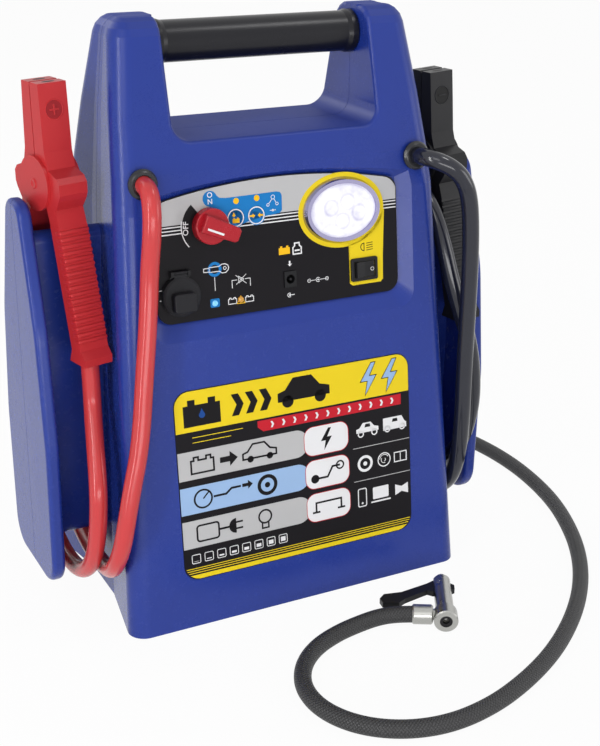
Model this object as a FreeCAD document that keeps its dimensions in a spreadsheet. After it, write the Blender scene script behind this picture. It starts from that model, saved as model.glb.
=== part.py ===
"""Jump starter pack with jump leads, work light and tyre hose.

Millimetres, +Z up, the control panel faces -Y and the origin is the middle of the footprint. The
casing is two moulded shells that meet at Y = 0. What sits on the leaning front or rear face is built
flat in its own axes (u to the right, v up the face, n out of it) and then placed on that face.
"""
import FreeCAD
import Part
import Sketcher
import math
import os
import re

SIZES = (
    # casing: width and depth at the foot, the shoulder, the neck and the top of the two horns
    ("casing_height", 401), ("base_width", 262.8), ("base_depth", 171.2),
    ("shoulder_height", 284), ("shoulder_width", 236.4), ("shoulder_depth", 104.2),
    ("brow_height", 308), ("brow_width", 232.6), ("brow_depth", 94.4),
    ("neck_height", 345), ("neck_width", 226.4), ("neck_depth", 74),
    ("top_width", 213.2), ("top_depth", 42.6),
    ("wall", 3), ("corner_radius", 12), ("top_radius", 11), ("seam_gap", 0.4),
    ("waist_inset", 11), ("waist_reach", 20), ("waist_top_inset", 2.5), ("waist_top_reach", 4),
    # handle window, tube and grip
    ("window_width", 148), ("window_floor", 326), ("window_radius", 12), ("window_edge", 3),
    ("handle_height", 383), ("tube_radius", 9), ("tube_bore", 7.5), ("tube_seat_depth", 18),
    ("seat_radius", 13), ("grip_radius", 13.5), ("collar_radius", 14.4), ("collar_length", 5),
    # side reels: the hub that the leads wrap and the plate that keeps them in
    ("plate_inner", 161), ("plate_thick", 9.3), ("plate_foot", 28), ("plate_top", 290),
    ("plate_reach", 46), ("plate_rim", 3.2), ("hub_half", 7), ("hub_foot", 48), ("hub_top", 268),
    ("hub_wall", 2.2),
    # screws and posts
    ("post_radius", 7), ("screw_seat", 24), ("screw_length", 38), ("screw_radius", 2),
    ("screw_head_radius", 3.8), ("screw_head_height", 2.6), ("screw_clear", 0.15),
    ("low_post_x", 104), ("low_post_height", 30), ("mid_post_x", 90), ("mid_post_height", 187),
    ("high_post_x", 98), ("high_post_height", 284), ("horn_post_x", 91), ("horn_post_height", 347),
    # control panel and its dish, in face axes
    ("dish_depth", 5.2), ("dish_half", 99), ("dish_foot", 200.5), ("dish_side", 297),
    ("dish_crown", 305), ("dish_corner", 14), ("panel_left", 94), ("panel_right", 85),
    ("panel_foot", 213.5), ("panel_side", 292), ("panel_crown", 302), ("panel_corner", 9),
    ("panel_thick", 2.2), ("panel_gap", 0.2), ("panel_ledge", 2.6), ("panel_low_ledge", 6),
    # label field
    ("label_half", 90), ("label_foot", 34.2), ("label_head", 168.4), ("label_corner", 11),
    ("label_sink", 0.7), ("label_thick", 1),
    # power switch and knob
    ("knob_u", 55.5), ("knob_v", 275), ("knob_radius", 11.7), ("knob_disc", 7), ("knob_rise", 13),
    ("lever_width", 12), ("lever_tail", 8.5), ("lever_tip", 18), ("lever_turn", 24), ("shaft_radius", 4),
    ("shaft_length", 9), ("switch_side", 26), ("switch_depth", 24), ("moving_gap", 0.3),
    # accessory socket and cap
    ("socket_u", 78.4), ("socket_v", 231.6), ("socket_flange", 13.4), ("flange_thick", 1.6),
    ("barrel_radius", 11.9), ("socket_bore", 10.5), ("socket_depth", 48), ("cap_radius", 13.1),
    ("cap_thick", 3), ("cap_plug", 9.6), ("cap_plug_depth", 3), ("tab_width", 15.4),
    ("tab_height", 12.6), ("tab_rise", 6), ("knuckle_radius", 1.2), ("knuckle_length", 9),
    # work light
    ("lamp_u", 42), ("lamp_v", 274.3), ("lens_major", 26), ("lens_minor", 19.2), ("bezel_rim", 3.3),
    ("bezel_rise", 4), ("lens_thick", 2), ("reflector_depth", 27), ("reflector_wall", 1.4),
    ("bulb_radius", 5.5), ("bulb_length", 14),
    # rocker switches
    ("light_switch_u", 57.9), ("light_switch_v", 231.8), ("rocker_frame_width", 20.8),
    ("rocker_frame_height", 16), ("rocker_frame_rise", 1.8), ("rocker_body_width", 18.6),
    ("rocker_body_height", 12.6), ("rocker_body_depth", 15), ("rocker_width", 16),
    ("rocker_height", 10.8), ("rocker_depth", 5), ("trunnion_level", 1),
    ("trunnion_radius", 0.9), ("trunnion_length", 0.6),
    # charging inlet, lights and board
    ("jack_u", 1.1), ("jack_v", 232.2), ("jack_width", 8.9), ("jack_height", 10.9), ("jack_rise", 1),
    ("jack_bore", 3.1), ("jack_pin", 0.9), ("led_v", 223.3), ("charged_u", 54.4), ("charging_u", 35.7),
    ("led_radius", 2.1), ("led_rise", 1.2), ("board_level", 11), ("board_thick", 1.6),
    ("board_left", 62), ("board_right", 12), ("board_foot", 219), ("board_head", 250),
    ("standoff_radius", 2.6),
    # grommets and leads
    ("grommet_x", 99.5), ("grommet_v", 306), ("lead_radius", 6), ("lead_gap", 0.05),
    ("grommet_neck", 7.6), ("grommet_flange", 9.8), ("grommet_bead", 3.2), ("grommet_grip", 6),
    ("grommet_boss", 10.6),
    # clamps
    ("jaw_width", 20), ("jaw_depth", 10.2), ("jaw_length", 63.5), ("handle_width", 20.4),
    ("handle_length", 113), ("handle_out", 41.5), ("handle_thick", 11.3), ("shoulder_bulge", 28.4),
    ("shoulder_drop", 7), ("waist_out", 21.5), ("end_flare", 4.5), ("end_height", 5),
    ("rib_start", 25), ("rib_start_out", 25), ("rib_end", 104), ("rib_count", 16),
    ("rib_pitch", 4.4), ("rib_notch", 2), ("rib_depth", 1.2), ("boot_depth", 14.5),
    ("cheek_radius", 17.8), ("cheek_thick", 2), ("cheek_gap", 0.3), ("lug_radius", 7),
    ("lug_thick", 2.7), ("pin_radius", 2), ("pin_gap", 0.05), ("coil_radius", 5), ("coil_half", 3.9),
    ("coil_turns", 4), ("coil_notch", 0.9),
    ("tooth_pitch", 4), ("tooth_depth", 1.4), ("tooth_strip", 1.2), ("tooth_width", 12),
    ("tooth_length", 38), ("half_gap", 0.4),
    # battery
    ("battery_width", 181), ("battery_depth", 77), ("battery_height", 167), ("battery_seat", 0.3),
    ("terminal_x", 74), ("terminal_radius", 6), ("terminal_height", 7), ("rib_thick", 2.6),
    ("rib_x", 62),
    # compressor
    ("motor_radius", 17), ("motor_length", 62), ("pump_width", 38), ("pump_depth", 38),
    ("pump_height", 42), ("pump_x", 31), ("compressor_y", 26), ("compressor_z", 206),
    ("cylinder_radius", 13), ("cylinder_length", 24), ("fin_count", 5), ("fin_thick", 1.6),
    ("fin_rise", 2.4), ("foot_radius", 6),
    # pressure gauge, in rear face axes
    ("gauge_u", 50), ("gauge_v", 258), ("gauge_radius", 24), ("gauge_depth", 20), ("gauge_rim", 27),
    ("gauge_rim_rise", 3), ("gauge_wall", 1.6), ("dial_level", 3.6), ("dial_thick", 0.6),
    ("needle_length", 17), ("needle_thick", 0.8), ("needle_hub", 2.4), ("spindle_radius", 0.8),
    ("glass_thick", 1.2), ("air_switch_u", 45), ("air_switch_v", 262),
    # hose, gland and tyre chuck
    ("gland_u", 84), ("gland_v", 42), ("gland_flange", 11), ("gland_flange_rise", 4),
    ("gland_neck", 8), ("gland_rise", 16), ("hose_radius", 5.75),
    ("nose_radius", 8.4),
    ("nose_length", 12), ("nose_hole", 4.4), ("chuck_radius", 6.4), ("chuck_length", 58),
    ("slot_height", 4.6), ("slot_front", 31.5), ("slot_length", 24), ("lever_place", 44),
    ("chuck_lever_thick", 4),
    ("chuck_pin_offset", 2.6), ("chuck_pin_radius", 1.3), ("ferrule_radius", 6.9), ("ferrule_length", 14),
    ("neck_radius", 4), ("neck_rise", 9), ("hose_offset", 9),
)

RED_CLAMP = FreeCAD.Placement(FreeCAD.Vector(-143.5, -1.6, 300.5), FreeCAD.Rotation(12, -1, 0))
BLACK_CLAMP = FreeCAD.Placement(FreeCAD.Vector(141.5, -4.5, 289.5), FreeCAD.Rotation(7, -2.5, 0))
CHUCK = FreeCAD.Placement(FreeCAD.Vector(66, -168, 8.4), FreeCAD.Rotation(-29, 0, -90))

# Routes between the pieces that hold each end: from the grommet to the clamp, from gland to chuck.
RED_ROUTE = (
    (-100.6, -68, 295), (-101.6, -69.5, 277), (-102.6, -65.8, 254),
    (-104.6, -67.2, 230), (-107.9, -70.4, 206), (-111.6, -73.4, 182), (-114.6, -76, 159),
    (-119, -79.5, 136), (-125.2, -82, 114), (-130.4, -84, 93), (-133.6, -82.5, 73),
    (-135.8, -74, 55), (-133.6, -56, 41), (-132, -30, 34), (-130.6, 0, 33),
    (-129.4, 28, 39), (-131.6, 47, 58), (-132.4, 55, 85), (-132.2, 57, 115),
    (-132.6, 62, 142), (-135.4, 74, 158), (-139, 89, 156), (-143, 97, 138),
    (-145, 93, 114), (-146, 83, 92), (-147, 69, 70), (-147.6, 50, 50),
    (-147.8, 24, 34), (-147.2, -4, 27), (-146.2, -32, 31), (-144.8, -52, 48),
    (-144, -63, 74), (-143, -65.6, 102), (-140.3, -56.6, 122), (-137, -44.6, 140),
    (-134.7, -36.6, 155),
)
BLACK_ROUTE = (
    (105, -68, 303.6), (114.4, -73, 299), (123.6, -74, 290.4),
    (129.8, -73.4, 276.6), (132.8, -73, 255), (134.4, -72.4, 226), (135.4, -71.2, 192),
    (136, -70.4, 152), (136.4, -71, 110), (136.2, -69, 76), (135.6, -60, 53),
    (134.6, -42, 40), (132.6, -16, 35), (130, 12, 36), (130.4, 34, 45),
    (131.6, 46, 66), (131.6, 51, 98), (130.8, 50.4, 136), (129, 47.4, 174),
    (127.4, 43, 210), (125.6, 36, 240), (123.4, 24, 264), (121.6, 5, 277),
    (122.4, -17, 275), (125, -35.4, 260), (128.4, -46, 237), (132.6, -52.6, 211),
    (138.6, -57.4, 188), (146, -60, 164), (151, -60.4, 138), (153.6, -58, 110),
    (153.4, -50, 82), (151.8, -35, 59), (150.4, -13, 43), (149.2, 10, 39.6),
    (148.2, 29, 50), (147.8, 39.6, 70), (147.6, 43.6, 92), (146.9, 41.8, 112),
    (145.4, 36.8, 129), (143.9, 32, 144),
)
HOSE_ROUTE = (
    (91, 127, 40), (105, 147, 25), (129, 160, 12), (156, 163, 6.8),
    (186, 157, 5.8), (214, 141, 5.8), (236, 116, 5.8), (249, 86, 5.8), (255, 52, 5.8),
    (256, 17, 5.8), (252, -19, 5.8), (244, -54, 5.8), (231, -88, 5.8), (214.6, -121, 5.8),
    (194, -152, 5.8), (169, -181, 5.8), (140, -207, 5.8), (109, -229, 5.8), (76, -246, 5.8),
    (43, -258, 5.8), (10, -262.4, 5.8), (-19, -256, 5.8), (-42, -240, 5.8), (-55, -217, 5.8),
    (-56, -192, 5.8), (-46, -170, 5.8), (-29, -154, 5.8), (-8, -144.6, 5.8), (12, -140.6, 6),
    (30, -140, 7),
)

doc = FreeCAD.newDocument("jump_starter")
sizes = doc.addObject("Spreadsheet::Sheet", "sizes")
for row, (name, value) in enumerate(SIZES, 1):
    sizes.set("A%d" % row, str(value))
    sizes.setAlias("A%d" % row, name)
doc.recompute()

ALIASES = {name for name, value in SIZES}
NODES = {}
V = FreeCAD.Vector


def bound(text):
    """Expression text in which each alias points at its cell of the sheet."""
    return re.sub(r"[a-z_]+", lambda word: "sizes." + word.group() if word.group() in ALIASES
                  else word.group(), str(text))


def number(text):
    """Value of an expression of aliases."""
    return float(sizes.evalExpression(bound(text)))


def bind(thing, **paths):
    """Ties properties to expressions; a double underscore in a name stands for a dot."""
    for path, text in paths.items():
        thing.setExpression(path.replace("__", "."), bound(text))


def node(name, thing):
    """Names a finished sub-part."""
    thing.Label = name
    NODES[name] = thing
    return thing


def made(kind, name, **paths):
    """A parametric object with bound properties."""
    thing = doc.addObject(kind, name)
    bind(thing, **paths)
    return thing


def body(name):
    return doc.addObject("PartDesign::Body", name)


def sketch(owner, role="XY_Plane", level=None):
    """A sketch on an origin plane of its body, moved along the plane's normal by level."""
    drawn = owner.newObject("Sketcher::SketchObject", owner.Name + "_sketch")
    plane = [item for item in owner.Origin.OriginFeatures if item.Role == role][0]
    drawn.AttachmentSupport = [(plane, "")]
    drawn.MapMode = "FlatFace"
    if level is not None:
        bind(drawn, AttachmentOffset__Base__z=level)
    return drawn


def place_point(drawn, curve, end, x, y):
    """Fixes one point of a sketch curve to two expressions."""
    for kind, text in (("DistanceX", x), ("DistanceY", y)):
        index = drawn.addConstraint(Sketcher.Constraint(kind, -1, 1, curve, end, number(text)))
        drawn.setExpression("Constraints[%d]" % index, bound(text))


def polygon(drawn, corners):
    """Closed outline of straight lines through corners given as pairs of expressions."""
    spots = [V(number(x), number(y), 0) for x, y in corners]
    first = drawn.GeometryCount
    count = len(spots)
    for index in range(count):
        drawn.addGeometry(Part.LineSegment(spots[index], spots[(index + 1) % count]), False)
    for index in range(count):
        following = first + (index + 1) % count
        drawn.addConstraint(Sketcher.Constraint("Coincident", first + index, 2, following, 1))
    for index, (x, y) in enumerate(corners):
        place_point(drawn, first + index, 1, x, y)
    return drawn


def circle(drawn, x, y, radius):
    spot = V(number(x), number(y), 0)
    index = drawn.addGeometry(Part.Circle(spot, V(0, 0, 1), number(radius)), False)
    place_point(drawn, index, 3, x, y)
    size = drawn.addConstraint(Sketcher.Constraint("Radius", index, number(radius)))
    drawn.setExpression("Constraints[%d]" % size, bound(radius))
    return drawn


def corners_rounded(drawn, places, radius):
    """Rounds corners of a polygon sketch, named by the place of their point."""
    for place in places:
        first = drawn.GeometryCount
        drawn.fillet(place, 1, number(radius), True, True)
        arc = [index for index in range(first, drawn.GeometryCount)
               if drawn.Geometry[index].TypeId == "Part::GeomArcOfCircle"][0]
        size = drawn.addConstraint(Sketcher.Constraint("Radius", arc, number(radius)))
        drawn.setExpression("Constraints[%d]" % size, bound(radius))
    return drawn


def box_corners(left, foot, right, head):
    return ((left, foot), (right, foot), (right, head), (left, head))


def extrude(owner, drawn, length, both=False, back=False, cut=False, through=False):
    """Pad or pocket of a sketch."""
    kind = "PartDesign::Pocket" if cut else "PartDesign::Pad"
    feature = owner.newObject(kind, owner.Name + ("_pocket" if cut else "_pad"))
    feature.Profile = drawn
    feature.Midplane = both
    feature.Reversed = back
    if through:
        feature.Type = "ThroughAll"
    else:
        bind(feature, Length=length)
    return feature


def turned(owner, corners, role="XZ_Plane"):
    """Solid of revolution about the upright axis of its sketch."""
    drawn = polygon(sketch(owner, role), corners)
    feature = owner.newObject("PartDesign::Revolution", owner.Name + "_turned")
    feature.Profile = drawn
    feature.ReferenceAxis = (drawn, ["V_Axis"])
    feature.Angle = 360
    return feature


def rounded(owner, base, radius, wanted):
    """Fillet of the edges of a feature that the test picks."""
    doc.recompute()
    names = ["Edge%d" % index for index, edge in enumerate(base.Shape.Edges, 1)
             if wanted(edge.BoundBox)]
    feature = owner.newObject("PartDesign::Fillet", owner.Name + "_round")
    feature.Base = (base, names)
    bind(feature, Radius=radius)
    return feature


def near(value, text, within=0.05):
    return abs(value - number(text)) < within


def joined(name, things, kind="Part::MultiFuse"):
    whole = doc.addObject(kind, name)
    whole.Shapes = things
    whole.Refine = True
    return whole


def cut_from(name, base, tool):
    rest = doc.addObject("Part::Cut", name)
    rest.Base = base
    rest.Tool = tool
    rest.Refine = True
    return rest


def mirrored(name, source, normal=V(1, 0, 0)):
    twin = doc.addObject("Part::Mirroring", name)
    twin.Source = source
    twin.Normal = normal
    return twin


def rod(name, radius, length, base, axis=V(0, 0, 1)):
    """Cylinder from a base point along an axis."""
    pin = made("Part::Cylinder", name, Radius=radius, Height=length)
    pin.Placement = FreeCAD.Placement(spot(*base), FreeCAD.Rotation(V(0, 0, 1), axis))
    return pin


def block(name, low, high):
    """Box between two corners given as expressions."""
    spans = ["(%s) - (%s)" % (top, foot) for foot, top in zip(low, high)]
    cube = made("Part::Box", name, Length=spans[0], Width=spans[1], Height=spans[2])
    cube.Placement.Base = spot(*low)
    return cube


def spot(x, y, z):
    return V(number(x), number(y), number(z))


LEAN = math.degrees(math.atan2(number("base_depth - shoulder_depth") / 2, number("shoulder_height")))
FRONT = FreeCAD.Placement(spot(0, "-base_depth / 2", 0), FreeCAD.Rotation(V(1, 0, 0), 90 - LEAN))
REAR = FreeCAD.Placement(V(0, 0, 0), FreeCAD.Rotation(180, 0, 0)).multiply(FRONT)


def on(face, thing, u=0, v=0, n=0):
    """Moves a piece built in face axes onto the leaning face."""
    inner = FreeCAD.Placement(spot(u, v, n), FreeCAD.Rotation())
    thing.Placement = face.multiply(inner).multiply(thing.Placement)
    return thing


# Casing

LEVELS = (
    # height, width and depth
    ("0", "base_width", "base_depth"),
    ("shoulder_height", "shoulder_width", "shoulder_depth"),
    ("brow_height", "brow_width", "brow_depth"),
    ("neck_height", "neck_width", "neck_depth"),
)
DOME_STEPS = (0, 25, 50, 72, 90)


def casing_section(owner, level, half, deep, inset, corner):
    """Cross-section with round corners and flanks that are drawn in at the middle."""
    height = "(1 - (%s) / casing_height)" % level
    waist = "(waist_top_inset + (waist_inset - waist_top_inset) * %s)" % height
    reach = "(waist_top_reach + (waist_reach - waist_top_reach) * %s)" % height
    half, deep = "(%s - (%s))" % (half, inset), "(%s - (%s))" % (deep, inset)
    hollow = "%s - %s" % (half, waist)
    right = [(half, "-" + deep), (hollow, "-" + reach), (hollow, reach), (half, deep)]
    left = [("-(%s)" % x, y) for x, y in reversed(right)]
    drawn = polygon(sketch(owner, level=level), right + left)
    return corners_rounded(drawn, (0, 3, 4, 7), corner)


def casing_block(name, inset, domed):
    """Tapering block with waisted flanks, drawn in from the outside by inset."""
    owner = body(name)
    drawn = []
    for level, width, depth in LEVELS:
        level = inset if level == "0" else level
        drawn.append(casing_section(owner, level, width + " / 2", depth + " / 2", inset,
                                    "corner_radius - (%s)" % inset))
    slope = "(casing_height - (%s)) / (casing_height - neck_height) / 2"
    for angle in DOME_STEPS if domed else DOME_STEPS[:1]:
        drop = 1 - math.sin(math.radians(angle))
        shrink = 1 - math.cos(math.radians(angle))
        level = "casing_height - (%s) - top_radius * %.4f" % (inset, drop if domed else 0.35)
        half = "(top_width / 2 + (neck_width - top_width) * %s)" % (slope % level)
        deep = "(top_depth / 2 + (neck_depth - top_depth) * %s)" % (slope % level)
        drawn.append(casing_section(owner, level, half, deep,
                                    "%s + top_radius * %.4f" % (inset, shrink),
                                    "corner_radius - (%s) - top_radius * %.4f" % (inset, shrink)))
    loft = owner.newObject("PartDesign::AdditiveLoft", name + "_loft")
    loft.Profile = drawn[0]
    loft.Sections = drawn[1:]
    loft.Ruled = True
    return owner, loft


def casing_outside():
    owner, loft = casing_block("casing_outside", "0", True)
    window = polygon(sketch(owner, "XZ_Plane"), box_corners(
        "-window_width / 2", "window_floor", "window_width / 2", "casing_height + wall"))
    corners_rounded(window, (0, 1), "window_radius")
    opened = extrude(owner, window, None, both=True, cut=True, through=True)
    reach = number("window_width / 2") + 0.05
    rounded(owner, opened, "window_edge", lambda box: max(abs(box.XMin), abs(box.XMax)) < reach
            and box.ZMin > number("window_floor") - 0.1 and (box.YMin > 10 or box.YMax < -10))
    return owner


def casing_space():
    """Room inside the walls, with the handle window and its walls left standing."""
    owner, loft = casing_block("casing_space", "wall", False)
    window = polygon(sketch(owner, "XZ_Plane"), box_corners(
        "-window_width / 2 - wall", "window_floor - wall", "window_width / 2 + wall",
        "casing_height + wall"))
    extrude(owner, window, None, both=True, cut=True, through=True)
    return owner


def side_reel():
    """Left reel: an upright plate with a rounded rim on a flat hub."""
    owner = body("side_reel")
    side = (("plate_reach * 0.95", "plate_foot"), ("plate_reach", "plate_top * 0.45"),
            ("plate_reach * 0.8", "plate_top * 0.72"), ("plate_reach * 0.3", "plate_top"))
    outline = list(side) + [("-(%s)" % x, y) for x, y in reversed(side)]
    drawn = polygon(sketch(owner, "YZ_Plane", "-plate_inner - plate_thick"), outline)
    plate = extrude(owner, drawn, "plate_thick")
    middle = number("plate_top") / 2
    foot = rounded(owner, plate, "plate_reach * 0.45", lambda box: near(box.ZMax, "plate_foot")
                   and box.YLength < 0.1)
    head = rounded(owner, foot, "plate_reach * 0.28", lambda box: near(box.ZMin, "plate_top")
                   and box.YLength < 0.1)
    sides = rounded(owner, head, "plate_reach * 1.8", lambda box: box.ZLength < 0.1
                    and box.YLength < 0.1 and box.XLength > 1 and box.ZMin > middle * 0.8
                    and box.ZMax < number("plate_top") - number("plate_reach") * 0.4)
    rim = rounded(owner, sides, "plate_rim", lambda box: box.XLength < 0.1)
    hub = polygon(sketch(owner, "YZ_Plane", "-plate_inner - plate_thick / 2"), box_corners(
        "-hub_half", "hub_foot", "hub_half", "hub_top"))
    core = extrude(owner, hub, "plate_thick / 2 + plate_inner - shoulder_width / 2 + 3 * wall")
    rounded(owner, core, "hub_half - 0.1", lambda box: box.XLength > number("plate_thick")
            and box.ZLength < 0.1 and box.YLength < 0.1
            and (near(box.ZMax, "hub_foot") or near(box.ZMin, "hub_top")))
    return owner


def hub_core():
    """Hollow of the left hub, open towards the room inside the casing."""
    owner = body("hub_core")
    drawn = polygon(sketch(owner, "YZ_Plane", "-plate_inner + hub_wall"), box_corners(
        "-hub_half + hub_wall", "hub_foot + hub_wall", "hub_half - hub_wall", "hub_top - hub_wall"))
    extrude(owner, drawn, "plate_inner - hub_wall - shoulder_width / 2 + 3 * wall")
    return owner


POSTS = (("low_post_x", "low_post_height"), ("mid_post_x", "mid_post_height"),
         ("high_post_x", "high_post_height"), ("horn_post_x", "horn_post_height"))


def post_spots():
    """Places of the screws, left and right."""
    return [(sign + x, z) for x, z in POSTS for sign in ("-", "")]


def inner_works():
    """Posts, handle seats, battery ribs, pump feet and the back wall of the panel's dish."""
    parts = []
    for index, (x, z) in enumerate(post_spots()):
        parts.append(rod("post_%d" % index, "post_radius", "base_depth",
                         (x, "base_depth / 2", z), V(0, -1, 0)))
    for sign, axis in (("-", V(-1, 0, 0)), ("", V(1, 0, 0))):
        parts.append(rod("seat" + sign, "seat_radius", "tube_seat_depth + wall",
                         (sign + "window_width / 2", 0, "handle_height"), axis))
        parts.append(on(FRONT, rod("boss" + sign, "grommet_boss", "grommet_grip", (0, 0, 0)),
                        sign + "grommet_x", "grommet_v", "-grommet_grip"))
        for side in (-1, 1):
            gap = "battery_depth / 2 + battery_seat"
            low, high = (gap, "base_depth / 2") if side > 0 else ("-base_depth / 2", "-(%s)" % gap)
            parts.append(block("rib", (sign + "rib_x - rib_thick / 2", low, 0),
                               (sign + "rib_x + rib_thick / 2", high, "battery_height")))
    parts.append(rod("pump_foot", "foot_radius", "base_depth / 2 - compressor_y - pump_depth / 2",
                     ("-pump_x", "compressor_y + pump_depth / 2", "compressor_z"), V(0, 1, 0)))
    gap = "compressor_y + motor_radius + moving_gap"
    parts.append(block("motor_foot", ("motor_length / 3", gap, "compressor_z - foot_radius"),
                       ("motor_length / 3 + foot_radius", "base_depth / 2", "compressor_z + foot_radius")))
    tray = body("tray")
    drawn = polygon(sketch(tray), box_corners("-dish_half - wall", "dish_foot - wall",
                                              "dish_half + wall", "dish_crown + wall"))
    extrude(tray, drawn, "dish_depth + wall", back=True)
    parts.append(on(FRONT, tray))
    return joined("inner_works", parts)


def crowned(drawn, left, right, foot, side, crown):
    """Outline with three straight sides and an arched head."""
    bow = "((%s) - (%s))" % (crown, side)
    half = "(((%s) + (%s)) / 2)" % (left, right)
    radius = "(%s ^ 2 + %s ^ 2) / 2 / %s" % (half, bow, bow)
    low_left, low_right = V(-number(left), number(foot), 0), V(number(right), number(foot), 0)
    top_left, top_right = V(-number(left), number(side), 0), V(number(right), number(side), 0)
    top = V(number(right) - number(half), number(crown), 0)
    lines = [drawn.addGeometry(Part.LineSegment(start, end), False) for start, end in
             ((top_left, low_left), (low_left, low_right), (low_right, top_right))]
    arch = drawn.addGeometry(Part.Arc(top_right, top, top_left), False)
    drawn.addConstraint(Sketcher.Constraint("Coincident", lines[0], 2, lines[1], 1))
    drawn.addConstraint(Sketcher.Constraint("Coincident", lines[1], 2, lines[2], 1))
    drawn.addConstraint(Sketcher.Constraint("Coincident", lines[2], 2, arch, 1))
    drawn.addConstraint(Sketcher.Constraint("Coincident", arch, 2, lines[0], 1))
    place_point(drawn, lines[0], 1, "-(%s)" % left, side)
    place_point(drawn, lines[1], 1, "-(%s)" % left, foot)
    place_point(drawn, lines[2], 1, right, foot)
    place_point(drawn, lines[2], 2, right, side)
    size = drawn.addConstraint(Sketcher.Constraint("Radius", arch, number(radius)))
    drawn.setExpression("Constraints[%d]" % size, bound(radius))
    return drawn


def panel_dish():
    """Room of the recess: its walls slope from the face down to the panel."""
    owner = body("panel_dish")
    floor = crowned(sketch(owner, level="-dish_depth"), "panel_left + panel_gap",
                    "panel_right + panel_gap", "panel_foot - panel_gap", "panel_side + panel_gap",
                    "panel_crown + panel_gap")
    corners_rounded(floor, (1, 2), "panel_corner + panel_gap")
    mouth = crowned(sketch(owner, level="wall"), "dish_half + wall", "dish_half + wall",
                    "dish_foot - 2 * wall", "dish_side + wall", "dish_crown + wall")
    corners_rounded(mouth, (1, 2), "dish_corner")
    loft = owner.newObject("PartDesign::AdditiveLoft", "dish_loft")
    loft.Profile = floor
    loft.Sections = [mouth]
    loft.Ruled = True
    return on(FRONT, owner)


def panel_opening():
    """Opening of the dish floor behind the panel."""
    owner = body("panel_opening")
    drawn = crowned(sketch(owner), "panel_left - panel_ledge", "panel_right - panel_low_ledge",
                    "panel_foot + panel_low_ledge", "panel_side - panel_ledge",
                    "panel_crown - panel_ledge")
    extrude(owner, drawn, "dish_depth + 3 * wall", back=True)
    return on(FRONT, owner)


def label_field():
    owner = body("label_field")
    drawn = polygon(sketch(owner), box_corners("-label_half", "label_foot", "label_half",
                                               "label_head"))
    room = extrude(owner, drawn, "2 * wall")
    rounded(owner, room, "label_corner", lambda box: box.ZLength > number("wall"))
    return on(FRONT, owner, n="-label_sink")


def shell_cuts():
    """Everything that is taken out of both shells."""
    cuts = [panel_dish(), panel_opening(), label_field()]
    for index, (x, z) in enumerate(post_spots()):
        cuts.append(rod("well_%d" % index, "screw_head_radius + 4 * screw_clear", "base_depth",
                        (x, "screw_seat", z), V(0, 1, 0)))
        cuts.append(rod("bore_%d" % index, "screw_radius + screw_clear", "screw_length + wall",
                        (x, "screw_seat", z), V(0, -1, 0)))
    cuts.append(rod("tube_bore_cut", "tube_radius + moving_gap / 6",
                    "window_width + 2 * tube_seat_depth",
                    ("-window_width / 2 - tube_seat_depth", 0, "handle_height"), V(1, 0, 0)))
    for sign in ("-", ""):
        cuts.append(on(FRONT, rod("lead_hole" + sign, "grommet_neck", "4 * grommet_grip", (0, 0, 0)),
                       sign + "grommet_x", "grommet_v", "-3 * grommet_grip"))
    cuts.append(on(REAR, rod("gauge_hole", "gauge_radius + panel_gap", "gauge_depth + wall",
                             (0, 0, 0)), "gauge_u", "gauge_v", "-gauge_depth"))
    cuts.append(on(REAR, rod("gland_hole", "gland_neck", "4 * wall", (0, 0, 0)),
                   "-gland_u", "gland_v", "-3 * wall"))
    hole = block("switch_hole", ("-rocker_body_width / 2 - panel_gap",
                                 "-rocker_body_height / 2 - panel_gap", "-4 * wall"),
                 ("rocker_body_width / 2 + panel_gap", "rocker_body_height / 2 + panel_gap", "wall"))
    cuts.append(on(REAR, hole, "-air_switch_u", "air_switch_v"))
    return joined("shell_cuts", cuts)


def shells():
    """The casing as one hollow moulding, then parted at Y = 0."""
    reel = side_reel()
    core = hub_core()
    outside = joined("casing_solid", [casing_outside(), reel, mirrored("right_reel", reel)])
    room = joined("casing_room", [casing_space(), core, mirrored("right_core", core)])
    hollow = cut_from("casing_hollow", outside, room)
    works = joined("works_inside", [inner_works(), outside], "Part::MultiCommon")
    whole = cut_from("casing_whole", joined("casing_full", [hollow, works]), shell_cuts())
    reach = "plate_inner + 2 * plate_thick"
    front = block("front_half", ("-(%s)" % reach, "-base_depth", "-wall"),
                  (reach, "-seam_gap / 2", "casing_height + wall"))
    rear = block("rear_half", ("-(%s)" % reach, "seam_gap / 2", "-wall"),
                 (reach, "base_depth", "casing_height + wall"))
    node("front_shell", joined("front_moulding", [whole, front], "Part::MultiCommon"))
    node("rear_shell", joined("rear_moulding", [whole, rear], "Part::MultiCommon"))



# Handle

def handle_parts():
    reach = "window_width / 2 + tube_seat_depth - moving_gap"
    owner = body("handle_tube_body")
    drawn = circle(sketch(owner, "YZ_Plane"), 0, 0, "tube_radius")
    circle(drawn, 0, 0, "tube_bore")
    extrude(owner, drawn, "2 * (%s)" % reach, both=True)
    owner.Placement.Base = spot(0, 0, "handle_height")
    node("handle_tube", owner)
    owner = body("handle_grip_body")
    end, inner = "window_width / 2 - moving_gap", "tube_radius + moving_gap / 6"
    step = "%s - collar_length" % end
    half = ((inner, end), ("collar_radius - 1", end), ("collar_radius", end + " - 1"),
            ("collar_radius", step), ("grip_radius", step + " - 3"))
    other = [(x, "-(%s)" % y) for x, y in reversed(half)]
    turned(owner, list(half) + other)
    owner.Placement = FreeCAD.Placement(spot(0, 0, "handle_height"), FreeCAD.Rotation(V(0, 1, 0), 90))
    node("handle_grip", owner)


# Control panel

def ring_wire(name, major, minor, level):
    curve = made("Part::Ellipse", name, MajorRadius=major, MinorRadius=minor)
    curve.Placement.Base = spot(0, 0, level)
    return curve


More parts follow.
